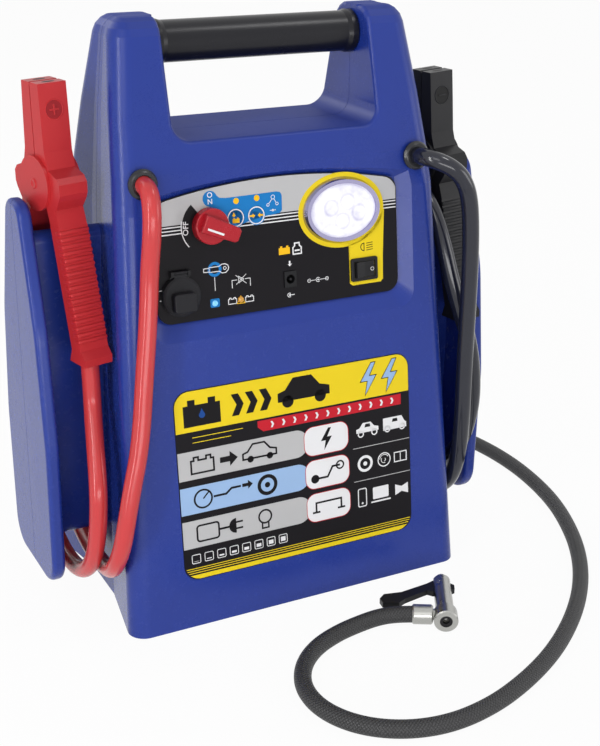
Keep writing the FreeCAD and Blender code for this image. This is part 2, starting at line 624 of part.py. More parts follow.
def oval(name, major, minor, foot, height, shrink="0"):
    """Elliptical plug along the third axis that may narrow towards its head."""
    low = ring_wire(name + "_low", major, minor, foot)
    top = ring_wire(name + "_top", "(%s) - (%s)" % (major, shrink), "(%s) - (%s)" % (minor, shrink),
                    "(%s) + (%s)" % (foot, height))
    plug = doc.addObject("Part::Loft", name)
    plug.Sections = [low, top]
    plug.Solid = True
    plug.Ruled = True
    return plug


def oval_bowl(name, major, minor, radius, foot, head):
    """Bowl solid that narrows from an ellipse at its head to a circle at its foot."""
    top = ring_wire(name + "_top", major, minor, head)
    waist = ring_wire(name + "_waist", "(%s) * 0.78" % major, "(%s) * 0.78" % minor,
                      "(%s) * 0.35 + (%s) * 0.65" % (foot, head))
    low = made("Part::Circle", name + "_low", Radius=radius)
    low.Placement.Base = spot(0, 0, foot)
    loft = doc.addObject("Part::Loft", name)
    loft.Sections = [low, waist, top]
    loft.Solid = True
    loft.Ruled = True
    return loft


def moved(thing, u=0, v=0, n=0):
    thing.Placement = FreeCAD.Placement(spot(u, v, n), FreeCAD.Rotation()).multiply(thing.Placement)
    return thing


PANEL_FACE = "-dish_depth + panel_thick"


def control_panel():
    owner = body("panel_plate")
    drawn = crowned(sketch(owner, level="-dish_depth"), "panel_left", "panel_right", "panel_foot",
                    "panel_side", "panel_crown")
    plate = extrude(owner, drawn, "panel_thick")
    rounded(owner, plate, "panel_corner", lambda box: box.XLength < 0.1 and box.YLength < 0.1)
    low, deep = "-dish_depth - 1", "panel_thick + 2"
    gap = "rocker_body_width / 2 + panel_gap"
    tall = "rocker_body_height / 2 + panel_gap"
    plug, high = "jack_width / 2 + panel_gap", "jack_height / 2 + panel_gap"
    cuts = [
        moved(rod("knob_hole", "shaft_radius + 2 * moving_gap", deep, (0, 0, low)), "-knob_u",
              "knob_v"),
        moved(rod("socket_hole", "barrel_radius + panel_gap", deep, (0, 0, low)), "-socket_u",
              "socket_v"),
        moved(oval("lamp_hole", "lens_major - 1.5", "lens_minor - 1.5", low, deep), "lamp_u", "lamp_v"),
        moved(block("rocker_hole", ("-(%s)" % gap, "-(%s)" % tall, low), (gap, tall, "0")),
              "light_switch_u", "light_switch_v"),
        moved(block("jack_hole", ("-(%s)" % plug, "-(%s)" % high, low), (plug, high, "0")), "jack_u",
              "jack_v")]
    for u in ("charged_u", "charging_u"):
        cuts.append(moved(rod("led_hole", "led_radius + panel_gap", deep, (0, 0, low)), "-" + u,
                          "led_v"))
    rest = cut_from("panel_cut", owner, joined("panel_cuts", cuts))
    stands = [rest]
    for u, v in (("-board_left + 2 * standoff_radius", "board_head - standoff_radius"),
                 ("board_right - standoff_radius", "board_head - standoff_radius"),
                 ("-charging_u + 4 * standoff_radius", "board_foot + standoff_radius + wall")):
        stands.append(rod("standoff", "standoff_radius", "board_level - dish_depth",
                          (u, v, "-board_level")))
    node("control_panel", on(FRONT, joined("panel_whole", stands)))


def front_label():
    owner = body("label_plate")
    gap = "panel_gap"
    drawn = polygon(sketch(owner), box_corners(
        "-label_half + " + gap, "label_foot + " + gap, "label_half - " + gap, "label_head - " + gap))
    plate = extrude(owner, drawn, "label_thick")
    rounded(owner, plate, "label_corner - " + gap, lambda box: box.XLength + box.YLength < 0.1)
    node("front_label", on(FRONT, owner, n="-label_sink"))


def power_knob():
    """Round knob with a raised pointer and a shaft down into the switch."""
    owner = body("power_knob_body")
    disc = extrude(owner, circle(sketch(owner, level="moving_gap"), 0, 0, "knob_radius"), "knob_disc")
    soft = rounded(owner, disc, "1", lambda box: near(box.ZMin, "knob_disc + moving_gap"))
    half = "lever_width / 2"
    drawn = polygon(sketch(owner, level="knob_disc"), (
        ("-lever_tail", "-(%s)" % half), ("lever_tip - 2", "-(%s) + 1" % half),
        ("lever_tip", "-(%s) + 2.6" % half), ("lever_tip", "%s - 2.6" % half),
        ("lever_tip - 2", "%s - 1" % half), ("-lever_tail", half)))
    bar = extrude(owner, drawn, "knob_rise - knob_disc")
    rounded(owner, bar, "1.2", lambda box: near(box.ZMin, "knob_rise"))
    extrude(owner, circle(sketch(owner, level="moving_gap"), 0, 0, "shaft_radius"), "shaft_length",
            back=True)
    owner.Placement.Rotation = FreeCAD.Rotation(V(0, 0, 1), -number("lever_turn"))
    node("power_knob", on(FRONT, owner, "-knob_u", "knob_v", PANEL_FACE))


def power_switch():
    """Battery isolator behind the knob, with its two studs."""
    owner = body("power_switch_body")
    half = "switch_side / 2"
    drawn = polygon(sketch(owner, level="-panel_thick"), box_corners("-" + half, "-" + half, half, half))
    case = extrude(owner, drawn, "switch_depth", back=True)
    rounded(owner, case, "3", lambda box: box.XLength + box.YLength < 0.1)
    bore = circle(sketch(owner, level="-panel_thick"), 0, 0, "shaft_radius + pin_gap")
    extrude(owner, bore, "shaft_length + wall", cut=True)
    studs = circle(sketch(owner, level="-panel_thick - switch_depth"), "-switch_side / 4", 0, "wall")
    extrude(owner, circle(studs, "switch_side / 4", 0, "wall"), "2 * wall", back=True)
    node("power_switch", on(FRONT, owner, "-knob_u", "knob_v", PANEL_FACE))


def accessory_socket():
    """Deep round outlet with a flange, a spring contact and a hinged cap."""
    hinge_v = "(cap_radius + 2 * knuckle_radius)"
    hinge_n = "(flange_thick + knuckle_radius + panel_gap)"
    owner = body("socket_body")
    turned(owner, (("0", "-socket_depth"), ("barrel_radius - 3", "-socket_depth"),
                   ("barrel_radius", "-socket_depth + 3"), ("barrel_radius", "0"),
                   ("socket_flange", "0"), ("socket_flange", "flange_thick"),
                   ("socket_bore", "flange_thick"), ("socket_bore", "-socket_depth + 6"),
                   ("6", "-socket_depth + 4"), ("0", "-socket_depth + 4")))
    ear = "knuckle_length / 2 + moving_gap"
    parts = [owner]
    for sign in (-1, 1):
        low, high = (ear, ear + " + 2") if sign > 0 else ("-(%s + 2)" % ear, "-(%s)" % ear)
        far = hinge_v + " + knuckle_radius"
        parts.append(block("ear_foot", (low, "socket_flange - 3", "0"), (high, far, "flange_thick")))
        parts.append(block("ear", (low, "cap_radius + moving_gap", "0"),
                           (high, far, hinge_n + " + knuckle_radius")))
    parts.append(rod("hinge_pin", "knuckle_radius / 2", "knuckle_length + 4 * moving_gap",
                     ("-knuckle_length / 2 - 2 * moving_gap", hinge_v, hinge_n), V(1, 0, 0)))
    whole = joined("socket_whole", parts)
    node("socket_12v", on(FRONT, moved(whole, "-socket_u", "socket_v", PANEL_FACE)))
    owner = body("contact_body")
    turned(owner, (("0", "0"), ("2.4", "0"), ("2.4", "3"), ("1.6", "4.4"), ("0", "4.4")))
    node("socket_contact", on(FRONT, moved(owner, "-socket_u", "socket_v",
                                           PANEL_FACE + " - socket_depth + 4")))
    owner = body("cap_body")
    base = "flange_thick + panel_gap / 2"
    turned(owner, (("0", base + " - cap_plug_depth"), ("cap_plug - 1", base + " - cap_plug_depth"),
                   ("cap_plug", base + " - cap_plug_depth + 1"), ("cap_plug", base),
                   ("cap_radius", base), ("cap_radius", base + " + cap_thick - 1"),
                   ("cap_radius - 1.4", base + " + cap_thick"), ("0", base + " + cap_thick")))
    tab = polygon(sketch(owner, level=base + " + cap_thick"), box_corners(
        "-tab_width / 2", "-tab_height * 0.75", "tab_width / 2", "tab_height * 0.25"))
    corners_rounded(tab, (0, 1, 2, 3), "tab_height / 6")
    pull = extrude(owner, tab, "tab_rise")
    rounded(owner, pull, "1", lambda box: near(box.ZMin, base + " + cap_thick + tab_rise"))
    half = "knuckle_length / 2"
    strap = block("strap", ("-" + half, "cap_radius - 3", base), (half, hinge_v, base + " + 2"))
    barrel = rod("knuckle", "knuckle_radius", "knuckle_length", ("-" + half, hinge_v, hinge_n),
                 V(1, 0, 0))
    bore = rod("knuckle_bore", "knuckle_radius / 2 + pin_gap", "2 * knuckle_length",
               ("-knuckle_length", hinge_v, hinge_n), V(1, 0, 0))
    whole = cut_from("cap_whole", joined("cap_solid", [owner, strap, barrel]), bore)
    node("socket_cap", on(FRONT, moved(whole, "-socket_u", "socket_v", PANEL_FACE)))


def work_light():
    spot_text = ("lamp_u", "lamp_v", PANEL_FACE)
    lip = "lens_major - 1", "lens_minor - 1"
    rim = oval("bezel_out", "lens_major + bezel_rim", "lens_minor + bezel_rim", "0", "bezel_rise",
               "bezel_rim / 2")
    seat = oval("bezel_seat", "lens_major + moving_gap / 2", "lens_minor + moving_gap / 2", "-1",
                "lens_thick + 1 + panel_gap")
    hole = oval("bezel_hole", lip[0], lip[1], "-1", "bezel_rise + 2")
    bezel = cut_from("bezel", rim, joined("bezel_cuts", [seat, hole]))
    node("lamp_bezel", on(FRONT, moved(bezel, *spot_text)))
    base = oval("lens_base", "lens_major", "lens_minor", "0", "lens_thick")
    crown = oval("lens_crown", lip[0] + " - moving_gap", lip[1] + " - moving_gap", "lens_thick", "1",
                 "1")
    node("lamp_lens", on(FRONT, moved(joined("lens", [base, crown]), *spot_text)))
    outer = oval_bowl("bowl_out", "lens_major - 1.5 - panel_gap", "lens_minor - 1.5 - panel_gap",
                      "bulb_radius + reflector_wall + panel_gap", "-reflector_depth", "0")
    inner = oval_bowl("bowl_in", "lens_major - 1.5 - panel_gap - reflector_wall",
                      "lens_minor - 1.5 - panel_gap - reflector_wall",
                      "bulb_radius + panel_gap", "-reflector_depth", "0")
    node("lamp_reflector", on(FRONT, moved(cut_from("reflector", outer, inner), *spot_text)))
    owner = body("bulb_body")
    foot = "-reflector_depth - 4"
    turned(owner, (("0", foot), ("bulb_radius", foot), ("bulb_radius", "-reflector_depth + 2"),
                   ("bulb_radius - 2.6", "-reflector_depth + 4"),
                   ("bulb_radius - 1.6", foot + " + bulb_length - 1"),
                   ("bulb_radius - 3", foot + " + bulb_length"), ("0", foot + " + bulb_length")))
    node("lamp_bulb", on(FRONT, moved(owner, *spot_text)))


def rocker_switch(switch, rocker, face, u, v, n):
    """Snap-in switch: a framed body and a paddle that rocks on the upright axis of its face."""
    owner = body(switch + "_body")
    wide, tall = "rocker_frame_width / 2", "rocker_frame_height / 2"
    frame = polygon(sketch(owner), box_corners("-" + wide, "-" + tall, wide, tall))
    rim = extrude(owner, corners_rounded(frame, (0, 1, 2, 3), "1.5"), "rocker_frame_rise")
    rounded(owner, rim, "0.6", lambda box: near(box.ZMin, "rocker_frame_rise"))
    wide, tall = "rocker_body_width / 2", "rocker_body_height / 2"
    stem = polygon(sketch(owner), box_corners("-" + wide, "-" + tall, wide, tall))
    extrude(owner, stem, "rocker_body_depth", back=True)
    wide, tall = "(rocker_width / 2 + moving_gap)", "(rocker_height / 2 + moving_gap)"
    well = polygon(sketch(owner, level="rocker_frame_rise"), box_corners(
        "-" + wide, "-" + tall, wide, tall))
    extrude(owner, well, "rocker_frame_rise + rocker_depth + 1.5", cut=True)
    pivot = circle(sketch(owner, "XZ_Plane"), 0, "-trunnion_level", "trunnion_radius + pin_gap")
    extrude(owner, pivot, "rocker_height + 2 * moving_gap + 2 * trunnion_length", both=True, cut=True)
    for side in ("-rocker_body_width / 4", "rocker_body_width / 4"):
        tab = polygon(sketch(owner, level="-rocker_body_depth"), box_corners(
            side + " - 0.4", "-3", side + " + 0.4", "3"))
        extrude(owner, tab, "7", back=True)
    node(switch, on(face, owner, u, v, n))
    owner = body(rocker + "_body")
    half = "(rocker_width / 2 - 0.4)"
    drawn = polygon(sketch(owner, "XZ_Plane"), (
        ("-%s + 0.8" % half, "rocker_frame_rise + 1.6"), ("-%s" % half, "0"),
        ("-%s + 0.5" % half, "-rocker_depth / 2"), ("0", "-rocker_depth + 0.6"),
        ("%s - 0.5" % half, "-rocker_depth / 2"), (half, "0"),
        ("%s - 0.2" % half, "rocker_frame_rise - 0.2"), ("0", "rocker_frame_rise + 0.3")))
    extrude(owner, drawn, "rocker_height", both=True)
    stub = circle(sketch(owner, "XZ_Plane"), 0, "-trunnion_level", "trunnion_radius")
    extrude(owner, stub, "rocker_height + 2 * moving_gap + trunnion_length", both=True)
    node(rocker, on(face, owner, u, v, n))


def charge_parts():
    """Charging inlet, two lights and the board that carries them."""
    owner = body("jack_body")
    half, tall = "jack_width / 2", "jack_height / 2"
    drawn = polygon(sketch(owner, level="-board_level - (%s)" % PANEL_FACE), box_corners(
        "-" + half, "-" + tall, half, tall))
    extrude(owner, drawn, "board_level + (%s) + jack_rise" % PANEL_FACE)
    ring = circle(circle(sketch(owner, level="jack_rise"), 0, 0, "jack_bore"), 0, 0, "jack_pin")
    extrude(owner, ring, "board_level + (%s)" % PANEL_FACE, cut=True)
    node("charge_jack", on(FRONT, owner, "jack_u", "jack_v", PANEL_FACE))
    for name, u in (("charged_led", "charged_u"), ("charging_led", "charging_u")):
        owner = body(name + "_body")
        disc = circle(sketch(owner, level="-board_level"), 0, 0, "led_radius")
        lens = extrude(owner, disc, "board_level + (%s) + led_rise" % PANEL_FACE)
        rounded(owner, lens, "led_radius * 0.6", lambda box: near(
            box.ZMin, "%s + led_rise" % PANEL_FACE))
        node(name, on(FRONT, owner, "-" + u, "led_v"))
    board = block("board", ("-board_left", "board_foot", "-board_level - board_thick"),
                  ("board_right", "board_head", "-board_level"))
    node("circuit_board", on(FRONT, board))


# Leads, hose and clamps

def grommet(name, sign):
    owner = body(name + "_body")
    bore = "lead_radius + lead_gap"
    turned(owner, ((bore, "-grommet_grip"), ("grommet_neck - lead_gap", "-grommet_grip"),
                   ("grommet_neck - lead_gap", "0"), ("grommet_flange", "0"),
                   ("grommet_flange", "grommet_bead * 0.4"),
                   ("grommet_flange - 1.2", "grommet_bead * 0.85"),
                   ("grommet_flange - 2", "grommet_bead"), (bore, "grommet_bead")))
    node(name, on(FRONT, owner, sign + "grommet_x", "grommet_v"))


def tube_along(name, points, radius):
    """Tube whose axis is straight runs joined by arcs as large as the runs allow."""
    points = [V(*point) for point in points]
    edges, start, tight = [], points[0], []
    for before, here, after in zip(points, points[1:], points[2:]):
        back, ahead = before - here, after - here
        reach = 0.45 * min(back.Length, ahead.Length)
        turn = math.pi - back.getAngle(ahead)
        back.normalize()
        ahead.normalize()
        bend = reach / math.tan(turn / 2)
        tight.append(bend)
        middle = back + ahead
        middle.normalize()
        centre = here + middle * math.hypot(bend, reach)
        first, last = here + back * reach, here + ahead * reach
        edges.append(Part.LineSegment(start, first).toShape())
        edges.append(Part.Arc(first, centre - middle * bend, last).toShape())
        start = last
    edges.append(Part.LineSegment(start, points[-1]).toShape())
    wire = Part.Wire(edges)
    ring = Part.Wire(Part.Circle(points[0], points[1] - points[0], radius).toShape())
    tube = wire.makePipeShell([ring], True, True)
    share = tube.Volume / (math.pi * radius ** 2 * wire.Length)
    print(name, "length %.0f" % wire.Length, "smallest radius %.1f" % min(tight),
          "volume share %.4f" % share)
    cord = doc.addObject("Part::Feature", name + "_cord")
    cord.Shape = tube
    return node(name, cord)


def at_face(face, u, v, n):
    return face.multVec(spot(u, v, n))


def side_profile(side):
    """Outline of one clamp arm seen from its flank; side is -1 in front and 1 behind."""
    inner = [("half_gap", "2"), ("9.5", "-13"), ("rib_start_out - handle_thick", "-rib_start"),
             ("handle_out - handle_thick", "-rib_end"), ("handle_out - boot_depth", "-handle_length")]
    flare = "handle_out + end_flare"
    outer = [(flare, "-handle_length"), (flare, "end_height - handle_length"),
             ("handle_out", "2 * end_height - handle_length"), ("rib_start_out", "-rib_start"),
             ("waist_out", "-2 * shoulder_drop"), ("shoulder_bulge - 1.6", "-shoulder_drop"),
             ("shoulder_bulge", "-shoulder_drop / 2"), ("shoulder_bulge", "shoulder_drop / 2"),
             ("shoulder_bulge - 3", "shoulder_drop"), ("jaw_depth + 5", "1.5 * shoulder_drop"),
             ("jaw_depth + 2", "3 * shoulder_drop"), ("jaw_depth + 1", "jaw_length * 0.7"),
             ("jaw_depth", "jaw_length")]
    nose = [("half_gap + 1", "jaw_length"), ("half_gap", "jaw_length - 1.5")]
    return [("%d * (%s)" % (side, y), z) for y, z in inner + outer + nose]


def clamp_arm(name, side):
    """Moulded clamp arm with a wider handle and ribs across its outside."""
    owner = body(name + "_body")
    profile = side_profile(side)
    extrude(owner, polygon(sketch(owner, "YZ_Plane"), profile), "jaw_width", both=True)
    extrude(owner, polygon(sketch(owner, "YZ_Plane"), profile[2:9]), "handle_width", both=True)
    bite = "%d * (half_gap + tooth_depth + tooth_strip)" % side
    low, high = "jaw_length - 2 - tooth_length - moving_gap", "jaw_length - 2 + moving_gap"
    room = polygon(sketch(owner, "YZ_Plane"), box_corners("0", low, bite, high))
    extrude(owner, room, "tooth_width + 2 * moving_gap", both=True, cut=True)
    slope = "(handle_out - rib_start_out) / (rib_end - rib_start)"
    foot = "rib_start + rib_notch"
    out = "%d * (rib_start_out + %s * %%s)" % (side, slope)
    notch = polygon(sketch(owner, "YZ_Plane"), (
        (out % "rib_notch" + " + %d * 0.1" % side, "-(%s)" % foot),
        (out % "(2 * rib_notch)" + " + %d * 0.1" % side, "-(%s) - rib_notch" % foot),
        (out % "(1.5 * rib_notch)" + " - %d * rib_depth" % side, "-(%s) - rib_notch / 2" % foot)))
    run = notch.addGeometry(Part.LineSegment(
        V(number(out % "rib_notch"), -number(foot), 0),
        V(number(out % "(rib_end - rib_start)"), -number("rib_end"), 0)), True)
    place_point(notch, run, 1, out % "rib_notch", "-(%s)" % foot)
    place_point(notch, run, 2, out % "(rib_end - rib_start)", "-rib_end")
    groove = extrude(owner, notch, "handle_width + 2", both=True, cut=True)
    doc.recompute()
    rows = owner.newObject("PartDesign::LinearPattern", name + "_rows")
    rows.Originals = [groove]
    rows.Direction = (notch, ["Axis0"])
    bind(rows, Length="(rib_count - 1) * rib_pitch", Occurrences="rib_count")
    owner.Tip = rows
    return owner


def across(name, radius, low, high):
    """Cylinder along the clamp's pivot between two places."""
    return rod(name, radius, "(%s) - (%s)" % (high, low), (low, 0, 0), V(1, 0, 0))


def both_sides(name, radius, low, high):
    return [across(name, radius, low, high), across(name, radius, "-(%s)" % high, "-(%s)" % low)]


def jaw_strip(name, side):
    """Toothed copper strip on the inner face of a jaw."""
    owner = body(name + "_body")
    bite, root = "half_gap + tooth_depth + tooth_strip", "half_gap + tooth_depth"
    top = "jaw_length - 2"
    points = [(bite, top + " - tooth_length"), (bite, top), (root, top)]
    count = int(number("tooth_length / tooth_pitch"))
    for index in range(count):
        points.append(("half_gap", top + " - %.1f * tooth_pitch" % (index + 0.5)))
        points.append((root, top + " - %d * tooth_pitch" % (index + 1)))
    points.append((root, top + " - tooth_length"))
    points = [("%d * (%s)" % (side, y), z) for y, z in points]
    extrude(owner, polygon(sketch(owner, "YZ_Plane"), points), "tooth_width", both=True)
    return owner


def clamp(colour, place):
    """Two arms on a pin: the front one has the cheeks, the rear one the lugs between them."""
    half = "jaw_width / 2"
    side = half + " + cheek_gap"
    lug_low = "coil_half + moving_gap"
    lug_high = "coil_half + moving_gap + lug_thick"
    front = clamp_arm(colour + "_front", -1)
    wide = body(colour + "_wide_body")
    extrude(wide, polygon(sketch(wide, "YZ_Plane"), side_profile(-1)), "jaw_width + 4 * cheek_thick",
            both=True)
    reach = side + " + cheek_thick"
    root = joined(colour + "_root", [wide, across("root", "cheek_radius", "-(%s)" % reach, reach)],
                  "Part::MultiCommon")
    plates = both_sides("cheek", "cheek_radius", side, reach)
    solid = joined(colour + "_front_solid", [front, root] + plates)
    room = [across("room", "lug_radius + moving_gap", "-(%s + moving_gap)" % lug_high,
                   lug_high + " + moving_gap"),
            across("hole", "pin_radius", "-handle_width", "handle_width")]
    arm = cut_from(colour + "_front_cut", solid, joined(colour + "_room", room))
    arm.Placement = place
    node(colour + "_front_arm", arm)
    rear = clamp_arm(colour + "_rear", 1)
    lugs = both_sides("lug", "lug_radius", lug_low, lug_high)
    rooms = [across("coil_room", "coil_radius + moving_gap", "-(%s)" % lug_low, lug_low),
             across("hole", "pin_radius + pin_gap", "-handle_width", "handle_width")]
    arm = cut_from(colour + "_rear_cut", joined(colour + "_rear_solid", [rear] + lugs),
                   joined(colour + "_rooms", rooms))
    arm.Placement = place
    node(colour + "_rear_arm", arm)
    for name, owner in (("_front_jaw", jaw_strip(colour + "_front_strip", -1)),
                        ("_rear_jaw", jaw_strip(colour + "_rear_strip", 1))):
        owner.Placement = place
        node(colour + name, owner)
    pin = across(colour + "_pin_rod", "pin_radius", "-(%s)" % reach, reach)
    pin.Placement = place.multiply(pin.Placement)
    node(colour + "_pin", pin)
    coil = body(colour + "_coil")
    points = [("pin_radius + moving_gap", "coil_half"), ("pin_radius + moving_gap", "-coil_half")]
    turns = int(number("coil_turns"))
    for index in range(turns):
        step = "-coil_half + 2 * coil_half * %.2f / coil_turns"
        points.append(("coil_radius - coil_notch", step % index))
        points.append(("coil_radius", step % (index + 0.25)))
        points.append(("coil_radius", step % (index + 0.75)))
    points.append(("coil_radius - coil_notch", "coil_half"))
    turned(coil, points)
    coil.Placement = place.multiply(FreeCAD.Placement(V(0, 0, 0), FreeCAD.Rotation(V(0, 1, 0), 90)))
    node(colour + "_spring", coil)


def lead_end(place, side, gap, length):
    """Last two points of a lead, straight out of the boot of a clamp handle."""
    y = "%d * (handle_out - boot_depth / 2)" % side
    foot = "-handle_length - %s" % gap
    return [tuple(place.multVec(spot(0, y, foot + " - %s" % length))),
            tuple(place.multVec(spot(0, y, foot)))]


def leads():
    for name, route, sign, place, side, gap in (
            ("red_lead", RED_ROUTE, "-", RED_CLAMP, -1, "0"),
            ("black_lead", BLACK_ROUTE, "", BLACK_CLAMP, 1, "0")):
        start = [tuple(at_face(FRONT, sign + "grommet_x", "grommet_v", level))
                 for level in ("-grommet_grip / 2", "3 * grommet_bead")]
        tube_along(name, start + list(route) + lead_end(place, side, gap, "20"),
                   number("lead_radius"))


def air_line():
    """Hose with its gland on the rear and the tyre chuck that lies on the floor in front."""
    owner = body("gland_body")
    bore = "hose_radius + lead_gap"
    turned(owner, ((bore, "-2 * wall"), ("gland_neck - lead_gap", "-2 * wall"),
                   ("gland_neck - lead_gap", "0"), ("gland_flange", "0"),
                   ("gland_flange", "gland_flange_rise"), ("gland_neck + 0.6", "gland_flange_rise"),
                   ("gland_neck - 0.8", "gland_rise"), (bore, "gland_rise")))
    node("hose_gland", on(REAR, owner, "-gland_u", "gland_v"))
    start = [tuple(at_face(REAR, "-gland_u", "gland_v", level)) for level in ("0", "gland_rise + 12")]
    last = tuple(CHUCK.multVec(spot("-neck_rise - 2", 0, "hose_offset")))
    before = tuple(CHUCK.multVec(spot("-neck_rise - 20", 0, "hose_offset")))
    tube_along("air_hose", start + list(HOSE_ROUTE) + [before, last], number("hose_radius"))
    owner = body("chuck_turned")
    edge = "chuck_length - 1"
    turned(owner, (("nose_hole", "0"), ("nose_radius - 0.8", "0"), ("nose_radius", "0.8"),
                   ("nose_radius", "nose_length - 1"), ("chuck_radius", "nose_length + 1"),
                   ("chuck_radius", "chuck_length - 5"), ("chuck_radius - 2", edge),
                   ("chuck_radius - 4.8", "chuck_length"), ("0", "chuck_length"), ("0", "3.5"),
                   ("1", "3.5"), ("1", "nose_length - 1"), ("nose_hole", "nose_length - 1")))
    neck = rod("chuck_neck", "neck_radius", "neck_rise + 2", (0, 0, "hose_offset"), V(-1, 0, 0))
    ring = rod("neck_core", "nose_hole", "nose_length", (0, 0, 0))
    stub = cut_from("chuck_stub", neck, ring)
    slot = block("slot", ("-2 * chuck_radius", "-slot_height / 2", "slot_front"),
                 ("2 * chuck_radius", "slot_height / 2", "slot_front + slot_length"))
    pin_place = ("-chuck_pin_offset", "-nose_radius", "lever_place")
    hole = rod("pin_hole", "chuck_pin_radius", "2 * nose_radius", pin_place, V(0, 1, 0))
    whole = cut_from("chuck_cut", joined("chuck_solid", [owner, stub]), joined("chuck_cuts", [slot, hole]))
    whole.Placement = CHUCK
    node("chuck_body", whole)
    owner = body("ferrule_body")
    turned(owner, (("neck_radius + lead_gap", "nose_radius + moving_gap"), ("ferrule_radius - 1",
                   "nose_radius + moving_gap"), ("ferrule_radius", "nose_radius + 1.5"),
                   ("ferrule_radius", "neck_rise + ferrule_length - 1"),
                   ("ferrule_radius - 0.8", "neck_rise + ferrule_length"),
                   (bore, "neck_rise + ferrule_length"), (bore, "neck_rise + 2"),
                   ("neck_radius + lead_gap", "neck_rise + 2")))
    turn = FreeCAD.Placement(spot(0, 0, "hose_offset"), FreeCAD.Rotation(V(0, 1, 0), -90))
    owner.Placement = CHUCK.multiply(turn)
    node("hose_ferrule", owner)
    owner = body("seal_body")
    turned(owner, (("2.3", "0.6"), ("nose_hole", "0.6"), ("nose_hole", "3"), ("2.3", "3")))
    owner.Placement = CHUCK
    node("chuck_seal", owner)
    owner = body("lever_body")
    points = ((8.6, -3), (8.6, 2), (2.6, 7), (-6, 7.6), (-11, 3), (-29.5, -9.5), (-42, -13),
              (-45, -19), (-43, -24.6), (-31.4, -23.6), (-27, -18.4), (-11, -6), (-7, -8), (3, -7))
    drawn = polygon(sketch(owner, "XZ_Plane"), [(str(x), "lever_place + (%s)" % z) for x, z in points])
    plate = extrude(owner, drawn, "chuck_lever_thick", both=True)
    bore = circle(sketch(owner, "XZ_Plane"), "-chuck_pin_offset", "lever_place",
                  "chuck_pin_radius + pin_gap")
    extrude(owner, bore, None, both=True, cut=True, through=True)
    owner.Placement = CHUCK
    node("chuck_lever", owner)
    chord = "sqrt(chuck_radius ^ 2 - chuck_pin_offset ^ 2)"
    pin = rod("chuck_pin_rod", "chuck_pin_radius", "2 * " + chord,
              ("-chuck_pin_offset", "-" + chord, "lever_place"), V(0, 1, 0))
    pin.Placement = CHUCK.multiply(pin.Placement)
    node("chuck_pin", pin)


# Inside the casing

def battery_parts():
    owner = body("battery_body")
    half, deep = "battery_width / 2", "battery_depth / 2"
    drawn = polygon(sketch(owner, level="wall"), box_corners("-" + half, "-" + deep, half, deep))
    corners_rounded(drawn, (0, 1, 2, 3), "3")
    extrude(owner, drawn, "battery_height")
    node("battery", owner)
    studs = [rod("stud", "terminal_radius", "terminal_height", (x, 0, "wall + battery_height"))
             for x in ("-terminal_x", "terminal_x")]
    node("battery_terminals", joined("studs", studs))


def finned(owner, radius, length):
    """Outline of a cylinder with cooling fins, along the upright axis."""
    count = int(number("fin_count"))
    points = [("0", "0"), (radius, "0")]
    for index in range(count):
        low = "%s * %.3f" % (length, (index + 0.6) / (count + 0.6))
        points += [(radius, low), (radius + " + fin_rise", low),
                   (radius + " + fin_rise", low + " + fin_thick"), (radius, low + " + fin_thick")]
    return turned(owner, points + [(radius, length), ("0", length)])


def compressor():
    start = "-pump_x + pump_width / 2"
    owner = body("motor_body")
    turned(owner, (("0", "0"), ("motor_radius - 3", "0"), ("motor_radius - 3", "3"),
                   ("motor_radius", "3"), ("motor_radius", "motor_length - 4"),
                   ("motor_radius - 3", "motor_length"), ("5", "motor_length"),
                   ("5", "motor_length + 3"), ("0", "motor_length + 3")))
    owner.Placement = FreeCAD.Placement(spot(start, "compressor_y", "compressor_z"),
                                        FreeCAD.Rotation(V(0, 1, 0), 90))
    node("compressor_motor", owner)
    block_part = block("crankcase", ("-pump_x - pump_width / 2", "compressor_y - pump_depth / 2",
                                     "compressor_z - pump_height / 2"),
                       ("-pump_x + pump_width / 2", "compressor_y + pump_depth / 2",
                        "compressor_z + pump_height / 2"))
    owner = body("cylinder_body")
    finned(owner, "cylinder_radius", "cylinder_length")
    owner.Placement = FreeCAD.Placement(spot("-pump_x - pump_width / 2", "compressor_y",
                                             "compressor_z"), FreeCAD.Rotation(V(0, 1, 0), -90))
    node("compressor_pump", joined("pump", [block_part, owner]))


